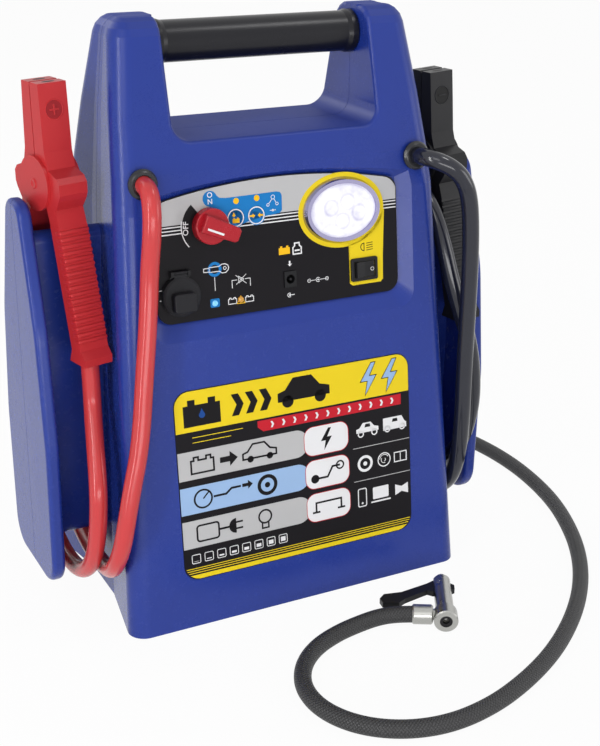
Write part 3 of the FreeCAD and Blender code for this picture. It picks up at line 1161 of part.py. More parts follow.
def pressure_gauge():
    place = ("gauge_u", "gauge_v", "0")
    owner = body("gauge_body")
    inner, ledge = "gauge_radius - gauge_wall", "gauge_radius - gauge_wall - 0.8"
    seat = "-dial_level - dial_thick"
    turned(owner, (("0", "-gauge_depth"), ("gauge_radius", "-gauge_depth"), ("gauge_radius", "0"),
                   ("gauge_rim", "0"), ("gauge_rim", "gauge_rim_rise - 0.8"),
                   ("gauge_rim - 0.8", "gauge_rim_rise"), (inner, "gauge_rim_rise"),
                   (inner, "gauge_rim_rise - 2 * glass_thick"),
                   (ledge, "gauge_rim_rise - 2 * glass_thick"), (ledge, seat),
                   (ledge + " - 1.2", seat), (ledge + " - 1.2", "-gauge_depth + gauge_wall"),
                   ("0", "-gauge_depth + gauge_wall")))
    node("gauge_case", on(REAR, owner, *place))
    disc = rod("dial_disc", ledge + " - pin_gap", "dial_thick", (0, 0, seat))
    hole = rod("dial_hole", "spindle_radius + pin_gap", "4 * dial_thick", (0, 0, seat + " - dial_thick"))
    dial = cut_from("dial_cut", disc, hole)
    node("gauge_dial", on(REAR, moved(dial, *place)))
    owner = body("needle_body")
    low = "-dial_level + moving_gap"
    drawn = polygon(sketch(owner, level=low), (
        ("-needle_length * 0.3", "-0.9"), ("0", "-1.3"), ("needle_length", "-0.25"),
        ("needle_length", "0.25"), ("0", "1.3"), ("-needle_length * 0.3", "0.9")))
    extrude(owner, drawn, "needle_thick")
    extrude(owner, circle(sketch(owner, level=low), 0, 0, "needle_hub"), "needle_thick + 0.6")
    extrude(owner, circle(sketch(owner, level=low), 0, 0, "spindle_radius"), "dial_thick + 2", back=True)
    owner.Placement = FreeCAD.Placement(V(0, 0, 0), FreeCAD.Rotation(V(0, 0, 1), 225))
    node("gauge_needle", on(REAR, moved(owner, *place)))
    glass = rod("glass_disc", inner + " - pin_gap", "glass_thick",
                (0, 0, "gauge_rim_rise - 2 * glass_thick"))
    node("gauge_glass", on(REAR, moved(glass, *place)))


def case_screws():
    parts = []
    for index, (x, z) in enumerate(post_spots()):
        head = rod("head_%d" % index, "screw_head_radius", "screw_head_height",
                   (x, "screw_seat", z), V(0, 1, 0))
        shank = rod("shank_%d" % index, "screw_radius", "screw_length", (x, "screw_seat", z),
                    V(0, -1, 0))
        parts.append(joined("screw_%d" % index, [head, shank]))
    bundle = doc.addObject("Part::Compound", "screws")
    bundle.Links = parts
    node("case_screws", bundle)


for step in (shells, handle_parts, control_panel, front_label, power_knob, power_switch, accessory_socket,
             work_light, charge_parts):
    step()
rocker_switch("light_switch_body", "light_rocker", FRONT, "light_switch_u", "light_switch_v",
              PANEL_FACE)
rocker_switch("compressor_switch_body", "compressor_rocker", REAR, "-air_switch_u", "air_switch_v", 0)
grommet("red_grommet", "-")
grommet("black_grommet", "")
clamp("red", RED_CLAMP)
clamp("black", BLACK_CLAMP)
for step in (leads, air_line, battery_parts, compressor, pressure_gauge, case_screws):
    step()
doc.recompute()


def checked(thing):
    """A finished shape, or an error that names it."""
    if thing.Shape.isNull() or not thing.Shape.isValid():
        raise RuntimeError("bad shape: " + thing.Label)
    return thing.Shape


for item in doc.Objects:
    if "Invalid" in item.State or "Error" in item.State:
        raise RuntimeError("failed: %s %s" % (item.Label, item.State))
os.makedirs("parts", exist_ok=True)
for name, thing in NODES.items():
    shape = checked(thing)
    shape.exportStep("parts/%s.step" % name)
    print(name, "solids", len(shape.Solids), "volume %.0f" % shape.Volume)
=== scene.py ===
"""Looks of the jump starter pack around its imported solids.

Metres, +Z up, the control panel faces -Y. Flat prints are drawn in the axes of the leaning face
that carries them: u to the right, v up the face, n out of it, in millimetres.
"""
import math

import bmesh
import bpy
from mathutils import Euler, Matrix, Vector


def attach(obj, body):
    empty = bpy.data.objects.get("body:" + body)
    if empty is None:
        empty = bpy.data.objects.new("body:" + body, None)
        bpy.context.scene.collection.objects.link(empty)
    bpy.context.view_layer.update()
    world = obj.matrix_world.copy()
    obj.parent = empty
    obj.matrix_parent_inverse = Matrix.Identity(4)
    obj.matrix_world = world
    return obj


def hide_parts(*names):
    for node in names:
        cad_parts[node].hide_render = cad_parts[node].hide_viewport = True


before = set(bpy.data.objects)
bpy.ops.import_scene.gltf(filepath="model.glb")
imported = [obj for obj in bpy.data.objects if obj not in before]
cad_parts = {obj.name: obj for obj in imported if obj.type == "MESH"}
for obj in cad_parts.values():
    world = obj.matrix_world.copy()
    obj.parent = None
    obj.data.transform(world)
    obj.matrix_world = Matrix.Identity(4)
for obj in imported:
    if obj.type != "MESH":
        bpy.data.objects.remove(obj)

MM = 0.001
TO_METRES = Matrix.Diagonal((MM, MM, MM, 1))
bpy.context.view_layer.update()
scene = bpy.context.scene


def placed(name, data):
    """A new object of some data, in the scene."""
    thing = bpy.data.objects.new(name, data)
    scene.collection.objects.link(thing)
    return thing


# Places, in millimetres and degrees

BASE_DEPTH, LEAN_SIN, LEAN_COS = 171.2, 0.117190, 0.993109
FACE = Matrix(((1, 0, 0, 0), (0, LEAN_SIN, -LEAN_COS, -BASE_DEPTH / 2), (0, LEAN_COS, LEAN_SIN, 0),
               (0, 0, 0, 1)))
REAR_FACE = Matrix.Rotation(math.pi, 4, "Z") @ FACE
PANEL_LEVEL, LABEL_LEVEL, PRINT_STEP = -3.0, 0.3, 0.03

KNOB_U, KNOB_V, KNOB_TOP, KNOB_TURN = -55.5, 275.0, 13.04, -24
LAMP_U, LAMP_V, LAMP_WIDE, LAMP_TALL = 42.0, 274.3, 26.0, 19.2
LIGHT_SWITCH_U, LIGHT_SWITCH_V, ROCKER_TOP, ROCKER_TILT = 57.9, 231.8, 2.1, -10
LEAD_EXIT_U, LEAD_EXIT_V = 99.5, 306
HOSE_EXIT_U, HOSE_EXIT_V = -84, 42
GAUGE_U, GAUGE_V, DIAL_LEVEL = 50, 258, -2.94
PUMP_SWITCH_U, PUMP_SWITCH_V, PUMP_SIGN_LEVEL = -45, 262, 0.06


def placement(x, y, z, yaw, pitch, roll):
    """Axes of a piece from its place in millimetres and its turns in degrees."""
    turn = Euler([math.radians(angle) for angle in (roll, pitch, yaw)], "XYZ")
    return Matrix.LocRotScale(Vector((x, y, z)), turn, None)


RED_CLAMP = placement(-143.5, -1.6, 300.5, 12, -1, 0)
BLACK_CLAMP = placement(141.5, -4.5, 289.5, 7, -2.5, 0)
CHUCK = placement(66, -168, 8.4, -29, 0, -90)


def at(place, x, y, z):
    """A point given in millimetres in some axes, as a point of the scene."""
    return (place @ Vector((x, y, z))) * MM


def spot(face, u, v, level):
    """The axes of a face, moved to a spot on it and off it by a level."""
    return face @ Matrix.Translation((u, v, level))


def turned(degrees, axis):
    """A turn about one axis."""
    return Matrix.Rotation(math.radians(degrees), 4, axis)


# Camera

AZIMUTH, ELEVATION, ROLL = (math.radians(angle) for angle in (-27.3525, 21.8373, 0.65593))
ASIDE, ALOFT, AWAY = 0.035353, 0.132189, 1.035741
LENS, SENSOR = 80.944, 36.0


def add_camera():
    """The photograph's camera: its way back from the object, then its rolled right and up."""
    back = Vector((math.sin(AZIMUTH) * math.cos(ELEVATION),
                   -math.cos(AZIMUTH) * math.cos(ELEVATION), math.sin(ELEVATION)))
    right = Vector((math.cos(AZIMUTH), math.sin(AZIMUTH), 0))
    up = back.cross(right)
    across = math.cos(ROLL) * right + math.sin(ROLL) * up
    upward = math.cos(ROLL) * up - math.sin(ROLL) * right
    data = bpy.data.cameras.new("photo_camera")
    data.lens = LENS
    data.sensor_width = SENSOR
    data.sensor_fit = "HORIZONTAL"
    camera = placed("photo_camera", data)
    camera.matrix_world = Matrix((across, upward, back)).transposed().to_4x4()
    camera.matrix_world.translation = across * ASIDE + upward * ALOFT + back * AWAY
    scene.camera = camera


add_camera()


# Finishes: shader maths is written as plain expressions on Value

class Value:
    """A socket of a material; sums, products and comparisons on it add Math nodes."""

    def __init__(self, finish, socket):
        self.finish = finish
        self.socket = socket

    def work(self, operation, *terms):
        return self.finish.node("ShaderNodeMath", {"operation": operation}, dict(enumerate(terms)))

    def __add__(self, other): return self.work("ADD", self, other)
    def __sub__(self, other): return self.work("SUBTRACT", self, other)
    def __rsub__(self, other): return self.work("SUBTRACT", other, self)
    def __mul__(self, other): return self.work("MULTIPLY", self, other)
    def __truediv__(self, other): return self.work("DIVIDE", self, other)
    def __pow__(self, other): return self.work("POWER", self, other)
    def __gt__(self, other): return self.work("GREATER_THAN", self, other)
    def __abs__(self): return self.work("ABSOLUTE", self)
    def top(self, other): return self.work("MAXIMUM", self, other)
    def least(self, other): return self.work("MINIMUM", self, other)
    def sine(self): return self.work("SINE", self)
    def fraction(self): return self.work("FRACT", self)
    def whole(self): return self.work("FLOOR", self)


class Tree:
    """A node tree that nodes are added to and joined in."""

    def __init__(self, tree):
        self.tree = tree

    def join(self, socket, value):
        if isinstance(value, Value):
            self.tree.links.new(value.socket, socket)
        else:
            socket.default_value = value

    def node(self, kind, settings, sockets, out=0):
        made = self.tree.nodes.new(kind)
        for name, value in settings.items():
            setattr(made, name, value)
        for name, value in sockets.items():
            self.join(made.inputs[name], value)
        return Value(self, made.outputs[out])


class Finish(Tree):
    """A material on one Principled shader."""

    def __init__(self, name, **sockets):
        self.material = bpy.data.materials.new(name)
        self.material.use_nodes = True
        super().__init__(self.material.node_tree)
        self.shader = self.tree.nodes["Principled BSDF"]
        for socket, value in sockets.items():
            self.feed(socket.replace("_", " "), value)

    def feed(self, socket, value):
        self.join(self.shader.inputs[socket], value)

    def place(self):
        """The point being shaded, in metres in the frame."""
        return self.node("ShaderNodeTexCoord", {}, {}, "Object")

    def axes(self, point=None):
        split = self.node("ShaderNodeSeparateXYZ", {}, {0: point or self.place()})
        return [Value(self, socket) for socket in split.socket.node.outputs]

    def noise(self, scale, detail, roughness=0.55):
        return self.node("ShaderNodeTexNoise", {}, {
            "Vector": self.place(), "Scale": scale, "Detail": detail, "Roughness": roughness})

    def mix(self, share, one, other):
        """Colour one where share is 0, and other where it is 1."""
        return self.node("ShaderNodeMix", {"data_type": "RGBA"}, {0: share, 6: one, 7: other}, 2)

    def bump(self, height, depth):
        self.feed("Normal", self.node("ShaderNodeBump", {}, {"Height": height, "Distance": depth}))


def channel(value):
    """One channel of a screen's colour, as light."""
    value /= 255
    return value / 12.92 if value <= 0.04045 else ((value + 0.055) / 1.055) ** 2.4


def rgb(red, green, blue):
    """A colour as it looks on a screen, 0 to 255."""
    return (channel(red), channel(green), channel(blue), 1.0)


def shaded(colour, share):
    """A colour made darker or lighter by a share."""
    return tuple(part * share for part in colour[:3]) + (1.0,)


def mottle(clouds, fine):
    """Tone of a moulded surface: mostly soft clouds, partly its grain."""
    return clouds * 0.7 + fine * 0.3


def uneven(pattern, reach):
    """A noise as a change up and down."""
    return (pattern - 0.5) * reach


SOFT_SHINE, CLOUD_SCALE = 0.22, 18
METAL_DRIFT, METAL_GRAIN_DEPTH, PATCH_SCALE = 0.1, 0.008, 120


def moulded(name, colour, roughness=0.4, grain=0.4, depth=0.03, drift=0.12, **sockets):
    """Moulded plastic or rubber: faint clouds, and a grain of a size and depth in millimetres."""
    finish = Finish(name, **{"Specular_IOR_Level": SOFT_SHINE, **sockets})
    clouds = finish.noise(CLOUD_SCALE, 4)
    fine = finish.noise(1 / (grain * MM), 2)
    finish.feed("Base Color", finish.mix(mottle(clouds, fine), shaded(colour, 1 - drift),
                                         shaded(colour, 1 + drift)))
    finish.feed("Roughness", uneven(clouds, 0.12) + uneven(fine, 0.08) + roughness)
    finish.bump(fine, depth * MM)
    return finish.material


def metal(name, colour, roughness=0.25, grain=0.3):
    """Plated or cast metal with fine scratches and duller patches."""
    finish = Finish(name, Metallic=1.0)
    patches = finish.noise(PATCH_SCALE, 5)
    fine = finish.noise(1 / (grain * MM), 3)
    finish.feed("Base Color", finish.mix(patches, shaded(colour, 1 - METAL_DRIFT), colour))
    finish.feed("Roughness", uneven(patches, 0.2) + uneven(fine, 0.1) + roughness)
    finish.bump(fine, METAL_GRAIN_DEPTH * MM)
    return finish.material


def dress(names, material):
    """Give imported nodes, named in one string, a finish."""
    for name in names.split():
        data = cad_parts[name].data
        data.materials.clear()
        data.materials.append(material)


def casing_finish():
    """Blue moulded casing: satin on its sides, duller with handling where it faces up."""
    finish = Finish("casing_plastic", Specular_IOR_Level=0.34)
    clouds = finish.noise(14, 4)
    fine = finish.noise(2000, 2)
    # Only the peaks of a rough noise show as scuffs
    scuffs = (finish.noise(160, 5, 0.7) - 0.56).top(0) * 1.5
    facing = finish.node("ShaderNodeNewGeometry", {}, {}, "Normal")
    upward = finish.axes(facing)[2].top(0)
    finish.feed("Base Color", finish.mix(mottle(clouds, fine), rgb(29, 50, 131), rgb(34, 57, 145)))
    finish.feed("Roughness", uneven(clouds, 0.1) + uneven(fine, 0.06) + scuffs * 0.3
                + upward * upward * 0.4 + 0.26)
    finish.bump(fine, 0.012 * MM)
    return finish.material


casing_plastic = casing_finish()
soft_black = moulded("soft_black_rubber", rgb(24, 24, 28), 0.5, 0.6, 0.05)
hard_black = moulded("hard_black_plastic", rgb(24, 24, 27), 0.35, 0.4, 0.02)
clamp_red = moulded("clamp_red_plastic", rgb(186, 44, 48), 0.36, 0.5, 0.03)
clamp_black = moulded("clamp_black_plastic", rgb(28, 28, 31), 0.36, 0.5, 0.03)
grip_rubber = moulded("grip_rubber", rgb(19, 19, 25), 0.3, 0.7, 0.015, Specular_IOR_Level=0.32)
grommet_rubber = moulded("grommet_rubber", rgb(22, 23, 28), 0.24, 0.7, 0.01, Specular_IOR_Level=0.5)
lead_red = moulded("red_lead_sheath", rgb(196, 58, 60), 0.22, 0.8, 0.008, 0.05,
                   Specular_IOR_Level=0.4)
# Black sheath tinted blue: a painted reflection of blue surroundings
black_lead_blue_reflection = moulded("black_lead_sheath", rgb(26, 28, 40), 0.14, 0.8, 0.006, 0.05,
                     Specular_IOR_Level=0.55)
knob_red = moulded("knob_red_plastic", rgb(166, 20, 34), 0.26, 0.4, 0.02, Specular_IOR_Level=0.35)
copper = metal("copper_teeth", rgb(196, 120, 84), 0.32)
bright_steel = metal("bright_steel", rgb(200, 200, 205), 0.25)
cast_metal = metal("cast_nickel", rgb(178, 178, 174), 0.3, 0.25)
battery_grey = moulded("battery_case", rgb(70, 72, 76), 0.5)
board_green = moulded("circuit_board_lacquer", rgb(30, 92, 52), 0.35)

dress("front_shell rear_shell", casing_plastic)
dress("socket_cap hose_gland", soft_black)
dress("handle_grip", grip_rubber)
dress("red_grommet black_grommet", grommet_rubber)
dress("handle_tube case_screws red_pin black_pin red_spring black_spring chuck_pin", bright_steel)
dress("light_switch_body light_rocker charge_jack gauge_case gauge_needle compressor_switch_body "
      "compressor_rocker power_switch socket_12v chuck_lever chuck_seal", hard_black)
dress("red_front_arm red_rear_arm", clamp_red)
dress("black_front_arm black_rear_arm", clamp_black)
dress("red_front_jaw red_rear_jaw black_front_jaw black_rear_jaw", copper)
dress("power_knob", knob_red)
dress("chuck_body hose_ferrule compressor_motor compressor_pump socket_contact battery_terminals "
      "lamp_reflector", cast_metal)
dress("battery", battery_grey)
dress("circuit_board", board_green)


# Leads and hose

RED_ROUTE = (
    (-100.6, -68, 295), (-101.6, -69.5, 277), (-102.6, -65.8, 254),
    (-104.6, -67.2, 230), (-107.9, -70.4, 206), (-111.6, -73.4, 182), (-114.6, -76, 159),
    (-119, -79.5, 136), (-125.2, -82, 114), (-130.4, -84, 93), (-133.6, -82.5, 73),
    (-135.8, -74, 55), (-133.6, -56, 41), (-132, -30, 34), (-130.6, 0, 33),
    (-129.4, 28, 39), (-131.6, 47, 58), (-132.4, 55, 85), (-132.2, 57, 115),
    (-132.6, 62, 142), (-135.4, 74, 158), (-139, 89, 156), (-143, 97, 138),
    (-145, 93, 114), (-146, 83, 92), (-147, 69, 70), (-147.6, 50, 50),
    (-147.8, 24, 34), (-147.2, -4, 27), (-146.2, -32, 31), (-144.8, -52, 48),
    (-144, -63, 74), (-143, -65.6, 102), (-140.3, -56.6, 122), (-137, -44.6, 140),
    (-134.7, -36.6, 155),
)
BLACK_ROUTE = (
    (105, -68, 303.6), (114.4, -73, 299), (123.6, -74, 290.4),
    (129.8, -73.4, 276.6), (132.8, -73, 255), (134.4, -72.4, 226), (135.4, -71.2, 192),
    (136, -70.4, 152), (136.4, -71, 110), (136.2, -69, 76), (135.6, -60, 53),
    (134.6, -42, 40), (132.6, -16, 35), (130, 12, 36), (130.4, 34, 45),
    (131.6, 46, 66), (131.6, 51, 98), (130.8, 50.4, 136), (129, 47.4, 174),
    (127.4, 43, 210), (125.6, 36, 240), (123.4, 24, 264), (121.6, 5, 277),
    (122.4, -17, 275), (125, -35.4, 260), (128.4, -46, 237), (132.6, -52.6, 211),
    (138.6, -57.4, 188), (146, -60, 164), (151, -60.4, 138), (153.6, -58, 110),
    (153.4, -50, 82), (151.8, -35, 59), (150.4, -13, 43), (149.2, 10, 39.6),
    (148.2, 29, 50), (147.8, 39.6, 70), (147.6, 43.6, 92), (146.9, 41.8, 112),
    (145.4, 36.8, 129), (143.9, 32, 144),
)
HOSE_ROUTE = (
    (91, 127, 40), (105, 147, 25), (129, 160, 12), (156, 163, 6.8),
    (186, 157, 5.8), (214, 141, 5.8), (236, 116, 5.8), (249, 86, 5.8), (255, 52, 5.8),
    (256, 17, 5.8), (252, -19, 5.8), (244, -54, 5.8), (231, -88, 5.8), (214.6, -121, 5.8),
    (194, -152, 5.8), (169, -181, 5.8), (140, -207, 5.8), (109, -229, 5.8), (76, -246, 5.8),
    (43, -258, 5.8), (10, -262.4, 5.8), (-19, -256, 5.8), (-42, -240, 5.8), (-55, -217, 5.8),
    (-56, -192, 5.8), (-46, -170, 5.8), (-29, -154, 5.8), (-8, -144.6, 5.8), (12, -140.6, 6),
    (30, -140, 7),
)
LEAD_RADIUS, HOSE_RADIUS, HOSE_SIDES = 6.0, 5.75, 28
BOOT_OUT, BOOT_DOWN, BOOT_DEPTH = 34.25, 113.0, 20
LEAD_RUN_OUT, GROMMET_FACE = (-3, 9.6), 3.2
HOSE_RUN_OUT, GLAND_FACE = (0, 28), 4
CHUCK_ENTRY = ((-29, 0, 9), (-11, 0, 9))
SPLINE_STEPS, LEAD_ROUNDNESS = 8, 7


def route_curve(name, start, route, end):
    """One open NURBS spline through the points of a route."""
    data = bpy.data.curves.new(name, "CURVE")
    data.dimensions = "3D"
    data.resolution_u = SPLINE_STEPS
    points = [*start, *(Vector(point) * MM for point in route), *end]
    spline = data.splines.new("NURBS")
    spline.points.add(len(points) - 1)
    for knot, point in zip(spline.points, points):
        knot.co = (*point, 1.0)
    spline.order_u = 3
    spline.use_endpoint_u = True
    return placed(name, data)


def line_of(curve):
    """Points along the spline of a curve without thickness."""
    mesh = bpy.data.meshes.new_from_object(curve)
    points = [vertex.co.copy() for vertex in mesh.vertices]
    bpy.data.meshes.remove(mesh)
    return points


def add_lead(name, sign, route, clamp, side, finish):
    """A lead from its grommet, round the reel and into the boot of its clamp."""
    start = [at(FACE, sign * LEAD_EXIT_U, LEAD_EXIT_V, level) for level in LEAD_RUN_OUT]
    boot = side * BOOT_OUT
    end = [at(clamp, 0, boot, -BOOT_DOWN - BOOT_DEPTH), at(clamp, 0, boot, -BOOT_DOWN)]
    curve = route_curve(name + "_lead_cord", start, route, end)
    curve.data.bevel_depth = LEAD_RADIUS * MM
    curve.data.bevel_resolution = LEAD_ROUNDNESS
    curve.data.materials.append(finish)
    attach(curve, "casing")
    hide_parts(name + "_lead")
    at(FACE, sign * LEAD_EXIT_U, LEAD_EXIT_V, GROMMET_FACE)


add_lead("red", -1, RED_ROUTE, RED_CLAMP, -1, lead_red)
add_lead("black", 1, BLACK_ROUTE, BLACK_CLAMP, 1, black_lead_blue_reflection)


def kept_mesh(name, mesh):
    """Mesh data from a mesh that was being built."""
    data = bpy.data.meshes.new(name)
    mesh.to_mesh(data)
    mesh.free()
    return data


def tube_mesh(name, points, radius, sides):
    """Round tube along points, with a map: turns round it, and millimetres along it."""
    mesh = bmesh.new()
    layer = mesh.loops.layers.uv.new("along")
    ahead = (points[1] - points[0]).normalized()
    across = ahead.orthogonal().normalized()
    rings, runs, run = [], [], 0.0
    for index, point in enumerate(points):
        before = points[max(index - 1, 0)]
        after = points[min(index + 1, len(points) - 1)]
        new_ahead = (after - before).normalized()
        across = (ahead.rotation_difference(new_ahead) @ across).normalized()
        ahead = new_ahead
        beside = ahead.cross(across)
        run += (point - before).length / MM
        ring = []
        for step in range(sides):
            angle = 2 * math.pi * step / sides
            offset = across * math.cos(angle) + beside * math.sin(angle)
            ring.append(mesh.verts.new(point + offset * radius * MM))
        rings.append(ring)
        runs.append(run)
    for place in range(len(rings) - 1):
        for step in range(sides):
            following = (step + 1) % sides
            face = mesh.faces.new((rings[place][step], rings[place][following],
                                   rings[place + 1][following], rings[place + 1][step]))
            face.smooth = True
            spots = ((step, place), (step + 1, place), (step + 1, place + 1), (step, place + 1))
            for loop, (turn, length) in zip(face.loops, spots):
                loop[layer].uv = (turn / sides, runs[length])
    mesh.faces.new(rings[0][::-1])
    mesh.faces.new(rings[-1])
    return placed(name, kept_mesh(name, mesh))


STRANDS, STRAND_PITCH = 12, 2.2


def braid_finish():
    """Two sets of flat strands that run round the hose both ways and pass over each other."""
    finish = Finish("hose_braid")
    across, along, _ = finish.axes(finish.node("ShaderNodeUVMap", {"uv_map": "along"}, {}))
    one = across * STRANDS + along / STRAND_PITCH
    other = across * STRANDS - along / STRAND_PITCH
    parity = ((one.whole() + other.whole()) * 0.5).fraction() > 0.25
    hill = (one.fraction() - 0.5) * math.pi
    dale = (other.fraction() - 0.5) * math.pi
    one_height = (hill + math.pi / 2).sine()
    other_height = (dale + math.pi / 2).sine()
    height = one_height * (other_height * 0.5 + 0.5) * parity \
        + other_height * (one_height * 0.5 + 0.5) * (1 - parity)
    fibres = finish.noise(2500, 2)
    # Painted highlight and shade: strands lighter on their crowns, darker where they dip under each
    # other
    painted_strand_shade = height * 0.75 + fibres * 0.3
    finish.feed("Base Color", finish.mix(painted_strand_shade, rgb(6, 6, 7), rgb(54, 54, 56)))
    finish.feed("Roughness", 0.62 - height * 0.2)
    finish.bump(height + fibres * 0.2, 0.35 * MM)
    return finish.material


def add_hose():
    """The air hose from its gland at the rear, round on the floor and into the chuck."""
    start = [at(REAR_FACE, HOSE_EXIT_U, HOSE_EXIT_V, level) for level in HOSE_RUN_OUT]
    end = [at(CHUCK, *point) for point in CHUCK_ENTRY]
    guide = route_curve("hose_guide", start, HOSE_ROUTE, end)
    points = line_of(guide)
    bpy.data.objects.remove(guide)
    hose = tube_mesh("air_hose_braid", points, HOSE_RADIUS, HOSE_SIDES)
    hose.data.materials.append(braid_finish())
    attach(hose, "casing")
    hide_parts("air_hose")
    at(REAR_FACE, HOSE_EXIT_U, HOSE_EXIT_V, GLAND_FACE)


add_hose()


# Flat prints: outlines in millimetres in the axes of the face that carries them

def oval_points(u, v, wide, tall, start=0, end=360, steps=40):
    """Points on an oval between two angles, anticlockwise from the right."""
    count = max(4, int(steps * (end - start) / 360))
    last = count if end - start < 360 else count - 1
    angles = [math.radians(start + (end - start) * step / count) for step in range(last + 1)]
    return [(u + wide * math.cos(angle), v + tall * math.sin(angle)) for angle in angles]


def round_box(left, foot, right, head, corner):
    """Box with round corners."""
    points = []
    for u, v, start in ((right - corner, foot + corner, 270), (right - corner, head - corner, 0),
                        (left + corner, head - corner, 90), (left + corner, foot + corner, 180)):
        points += oval_points(u, v, corner, corner, start, start + 90, 24)
    return points


MITRE_LIMIT = 0.35
LETTER_SIZE, LETTER_WEIGHT = 1.4, 0.02


def sideways(corners, reach, closed):
    """Corners of a run moved to its left by a reach, with mitred bends."""
    points = [Vector(corner) for corner in corners]
    count = len(points)
    moved = []
    for index, point in enumerate(points):
        before = points[index - 1] if closed or index else None
        after = points[(index + 1) % count] if closed or index + 1 < count else None
        ways = [(point - before).normalized()] if before else []
        ways += [(after - point).normalized()] if after else []
        sides = [Vector((-way.y, way.x)) for way in ways]
        middle = (sides[0] + sides[-1]).normalized()
        moved.append(point + middle * reach / max(middle.dot(sides[0]), MITRE_LIMIT))
    return moved + moved[:1] if closed else moved


class Print:
    """Flat shapes of one ink on a face."""

    def __init__(self, name, ink, plane, body="casing", slot="panel_print"):
        self.name, self.ink, self.plane, self.body, self.slot = name, ink, plane, body, slot
        self.mesh = bmesh.new()

    def area(self, corners):
        """One flat area that faces out of the plane."""
        spots = [self.mesh.verts.new(at(self.plane, u, v, 0)) for u, v in corners]
        face = self.mesh.faces.new(spots)
        face.normal_update()
        if face.normal.dot(self.plane.col[2].to_3d()) < 0:
            face.normal_flip()

    def disc(self, u, v, radius):
        self.area(oval_points(u, v, radius, radius))

    def strip(self, left, right):
        """Strip between two runs of corners of one length."""
        for place in range(len(left) - 1):
            self.area((left[place], right[place], right[place + 1], left[place + 1]))

    def ring(self, u, v, wide, width, tall=None, start=0, end=360):
        """Round or oval ring, or a part of one between two angles, drawn inwards by a width."""
        tall = tall or wide
        steps = 72 if wide > 12 else 40
        outer = oval_points(u, v, wide, tall, start, end, steps)
        inner = oval_points(u, v, wide - width, tall - width, start, end, steps)
        if end - start >= 360:
            outer, inner = outer + outer[:1], inner + inner[:1]
        self.strip(outer, inner)

    def line(self, corners, width, closed=False):
        self.strip(sideways(corners, width / 2, closed), sideways(corners, -width / 2, closed))

    def symbol(self, outline, u, v, size, width=0, turn=0):
        """An outline of unit size, filled or drawn as a line."""
        cosine, sine = math.cos(math.radians(turn)) * size, math.sin(math.radians(turn)) * size
        corners = [(u + x * cosine - y * sine, v + x * sine + y * cosine) for x, y in outline]
        if width:
            self.line(corners, width, True)
        else:
            self.area(corners)

    def word(self, text, u, v, height, turn=0):
        """Plain letters centred on a point."""
        data = bpy.data.curves.new(text, "FONT")
        data.body = text
        data.align_x, data.align_y = "CENTER", "CENTER"
        data.size = height * LETTER_SIZE
        data.offset = LETTER_WEIGHT * height
        holder = bpy.data.objects.new(text, data)
        flat = bpy.data.meshes.new_from_object(holder)
        flat.transform(TO_METRES @ self.plane @ Matrix.Translation((u, v, 0)) @ turned(turn, "Z"))
        self.mesh.from_mesh(flat)
        bpy.data.objects.remove(holder)
        bpy.data.meshes.remove(flat)

    def done(self):
        data = kept_mesh(self.name, self.mesh)
        data.materials.append(self.ink)
        piece = placed(self.name, data)
        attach(piece, self.body)


# Outlines of unit size

BOLT = ((0.2, 1), (-0.55, -0.12), (-0.08, -0.12), (-0.25, -1), (0.55, 0.2), (0.08, 0.2), (0.5, 1))
BATTERY = ((-1, -0.7), (1, -0.7), (1, 0.4), (0.75, 0.4), (0.75, 0.68), (0.35, 0.68), (0.35, 0.4),
           (-0.35, 0.4), (-0.35, 0.68), (-0.75, 0.68), (-0.75, 0.4), (-1, 0.4))
CAR = ((-1, -0.3), (1, -0.3), (1, 0.02), (0.62, 0.12), (0.3, 0.5), (-0.4, 0.5), (-0.72, 0.1),
       (-1, 0.02))
VAN = ((-1, -0.4), (1, -0.4), (1, -0.02), (0.82, 0.12), (0.6, 0.55), (-1, 0.55))
ARROW = ((-1, -0.3), (0.1, -0.3), (0.1, -0.8), (1, 0), (0.1, 0.8), (0.1, 0.3), (-1, 0.3))
CHEVRON = ((-0.6, -1), (0.1, -1), (0.6, 0), (0.1, 1), (-0.6, 1), (-0.1, 0))
DROP = ((0, 1.1), (-0.34, 0.35), (-0.62, -0.1), (-0.66, -0.45), (-0.4, -0.82), (0, -0.95),
        (0.4, -0.82), (0.66, -0.45), (0.62, -0.1), (0.34, 0.35))
TRIANGLE = ((-1, -0.8), (1, -0.8), (0, 0.9))


def ink(name, colour, roughness=0.32):
    """Screen-printed ink under a clear film: a faint grain and slightly uneven cover."""
    return moulded(name, colour, roughness, 0.25, 0.004, 0.05, Specular_IOR_Level=0.14)


WHITE_INK = ink("white_ink", rgb(226, 226, 228))
GREY_INK = ink("grey_ink", rgb(182, 182, 183))
BLACK_INK = ink("black_ink", rgb(18, 16, 19))
YELLOW_INK = ink("yellow_ink", rgb(228, 201, 34))
RED_INK = ink("red_ink", rgb(190, 32, 46))
BLUE_INK = ink("blue_ink", rgb(28, 118, 186))
SKY_INK = ink("sky_ink", rgb(150, 180, 218))
AMBER_INK = ink("amber_ink", rgb(240, 186, 32))
DEEP_INK = ink("deep_blue_ink", rgb(26, 70, 140))

PANEL_LEFT, PANEL_RIGHT, PANEL_SIDE, PANEL_CROWN, PANEL_CORNER = -94.0, 85.0, 292.0, 302.0, 9.0
PANEL_INSET = 0.5


def panel_head(inset):
    """The arched head of the panel from right to left, drawn in by an inset."""
    count = 40
    half, middle = (PANEL_RIGHT - PANEL_LEFT) / 2, (PANEL_RIGHT + PANEL_LEFT) / 2
    bow = PANEL_CROWN - PANEL_SIDE
    radius = (half ** 2 + bow ** 2) / (2 * bow)
    run = []
    for step in range(count + 1):
        across = (half - inset) * math.cos(math.pi * step / count)
        height = PANEL_CROWN - radius + math.sqrt((radius - inset) ** 2 - across ** 2)
        short = max(0.0, abs(across) - (half - PANEL_CORNER))
        round_off = PANEL_CORNER - math.sqrt(max(0.0, PANEL_CORNER ** 2 - short ** 2))
        run.append((middle + across, height - round_off))
    return run


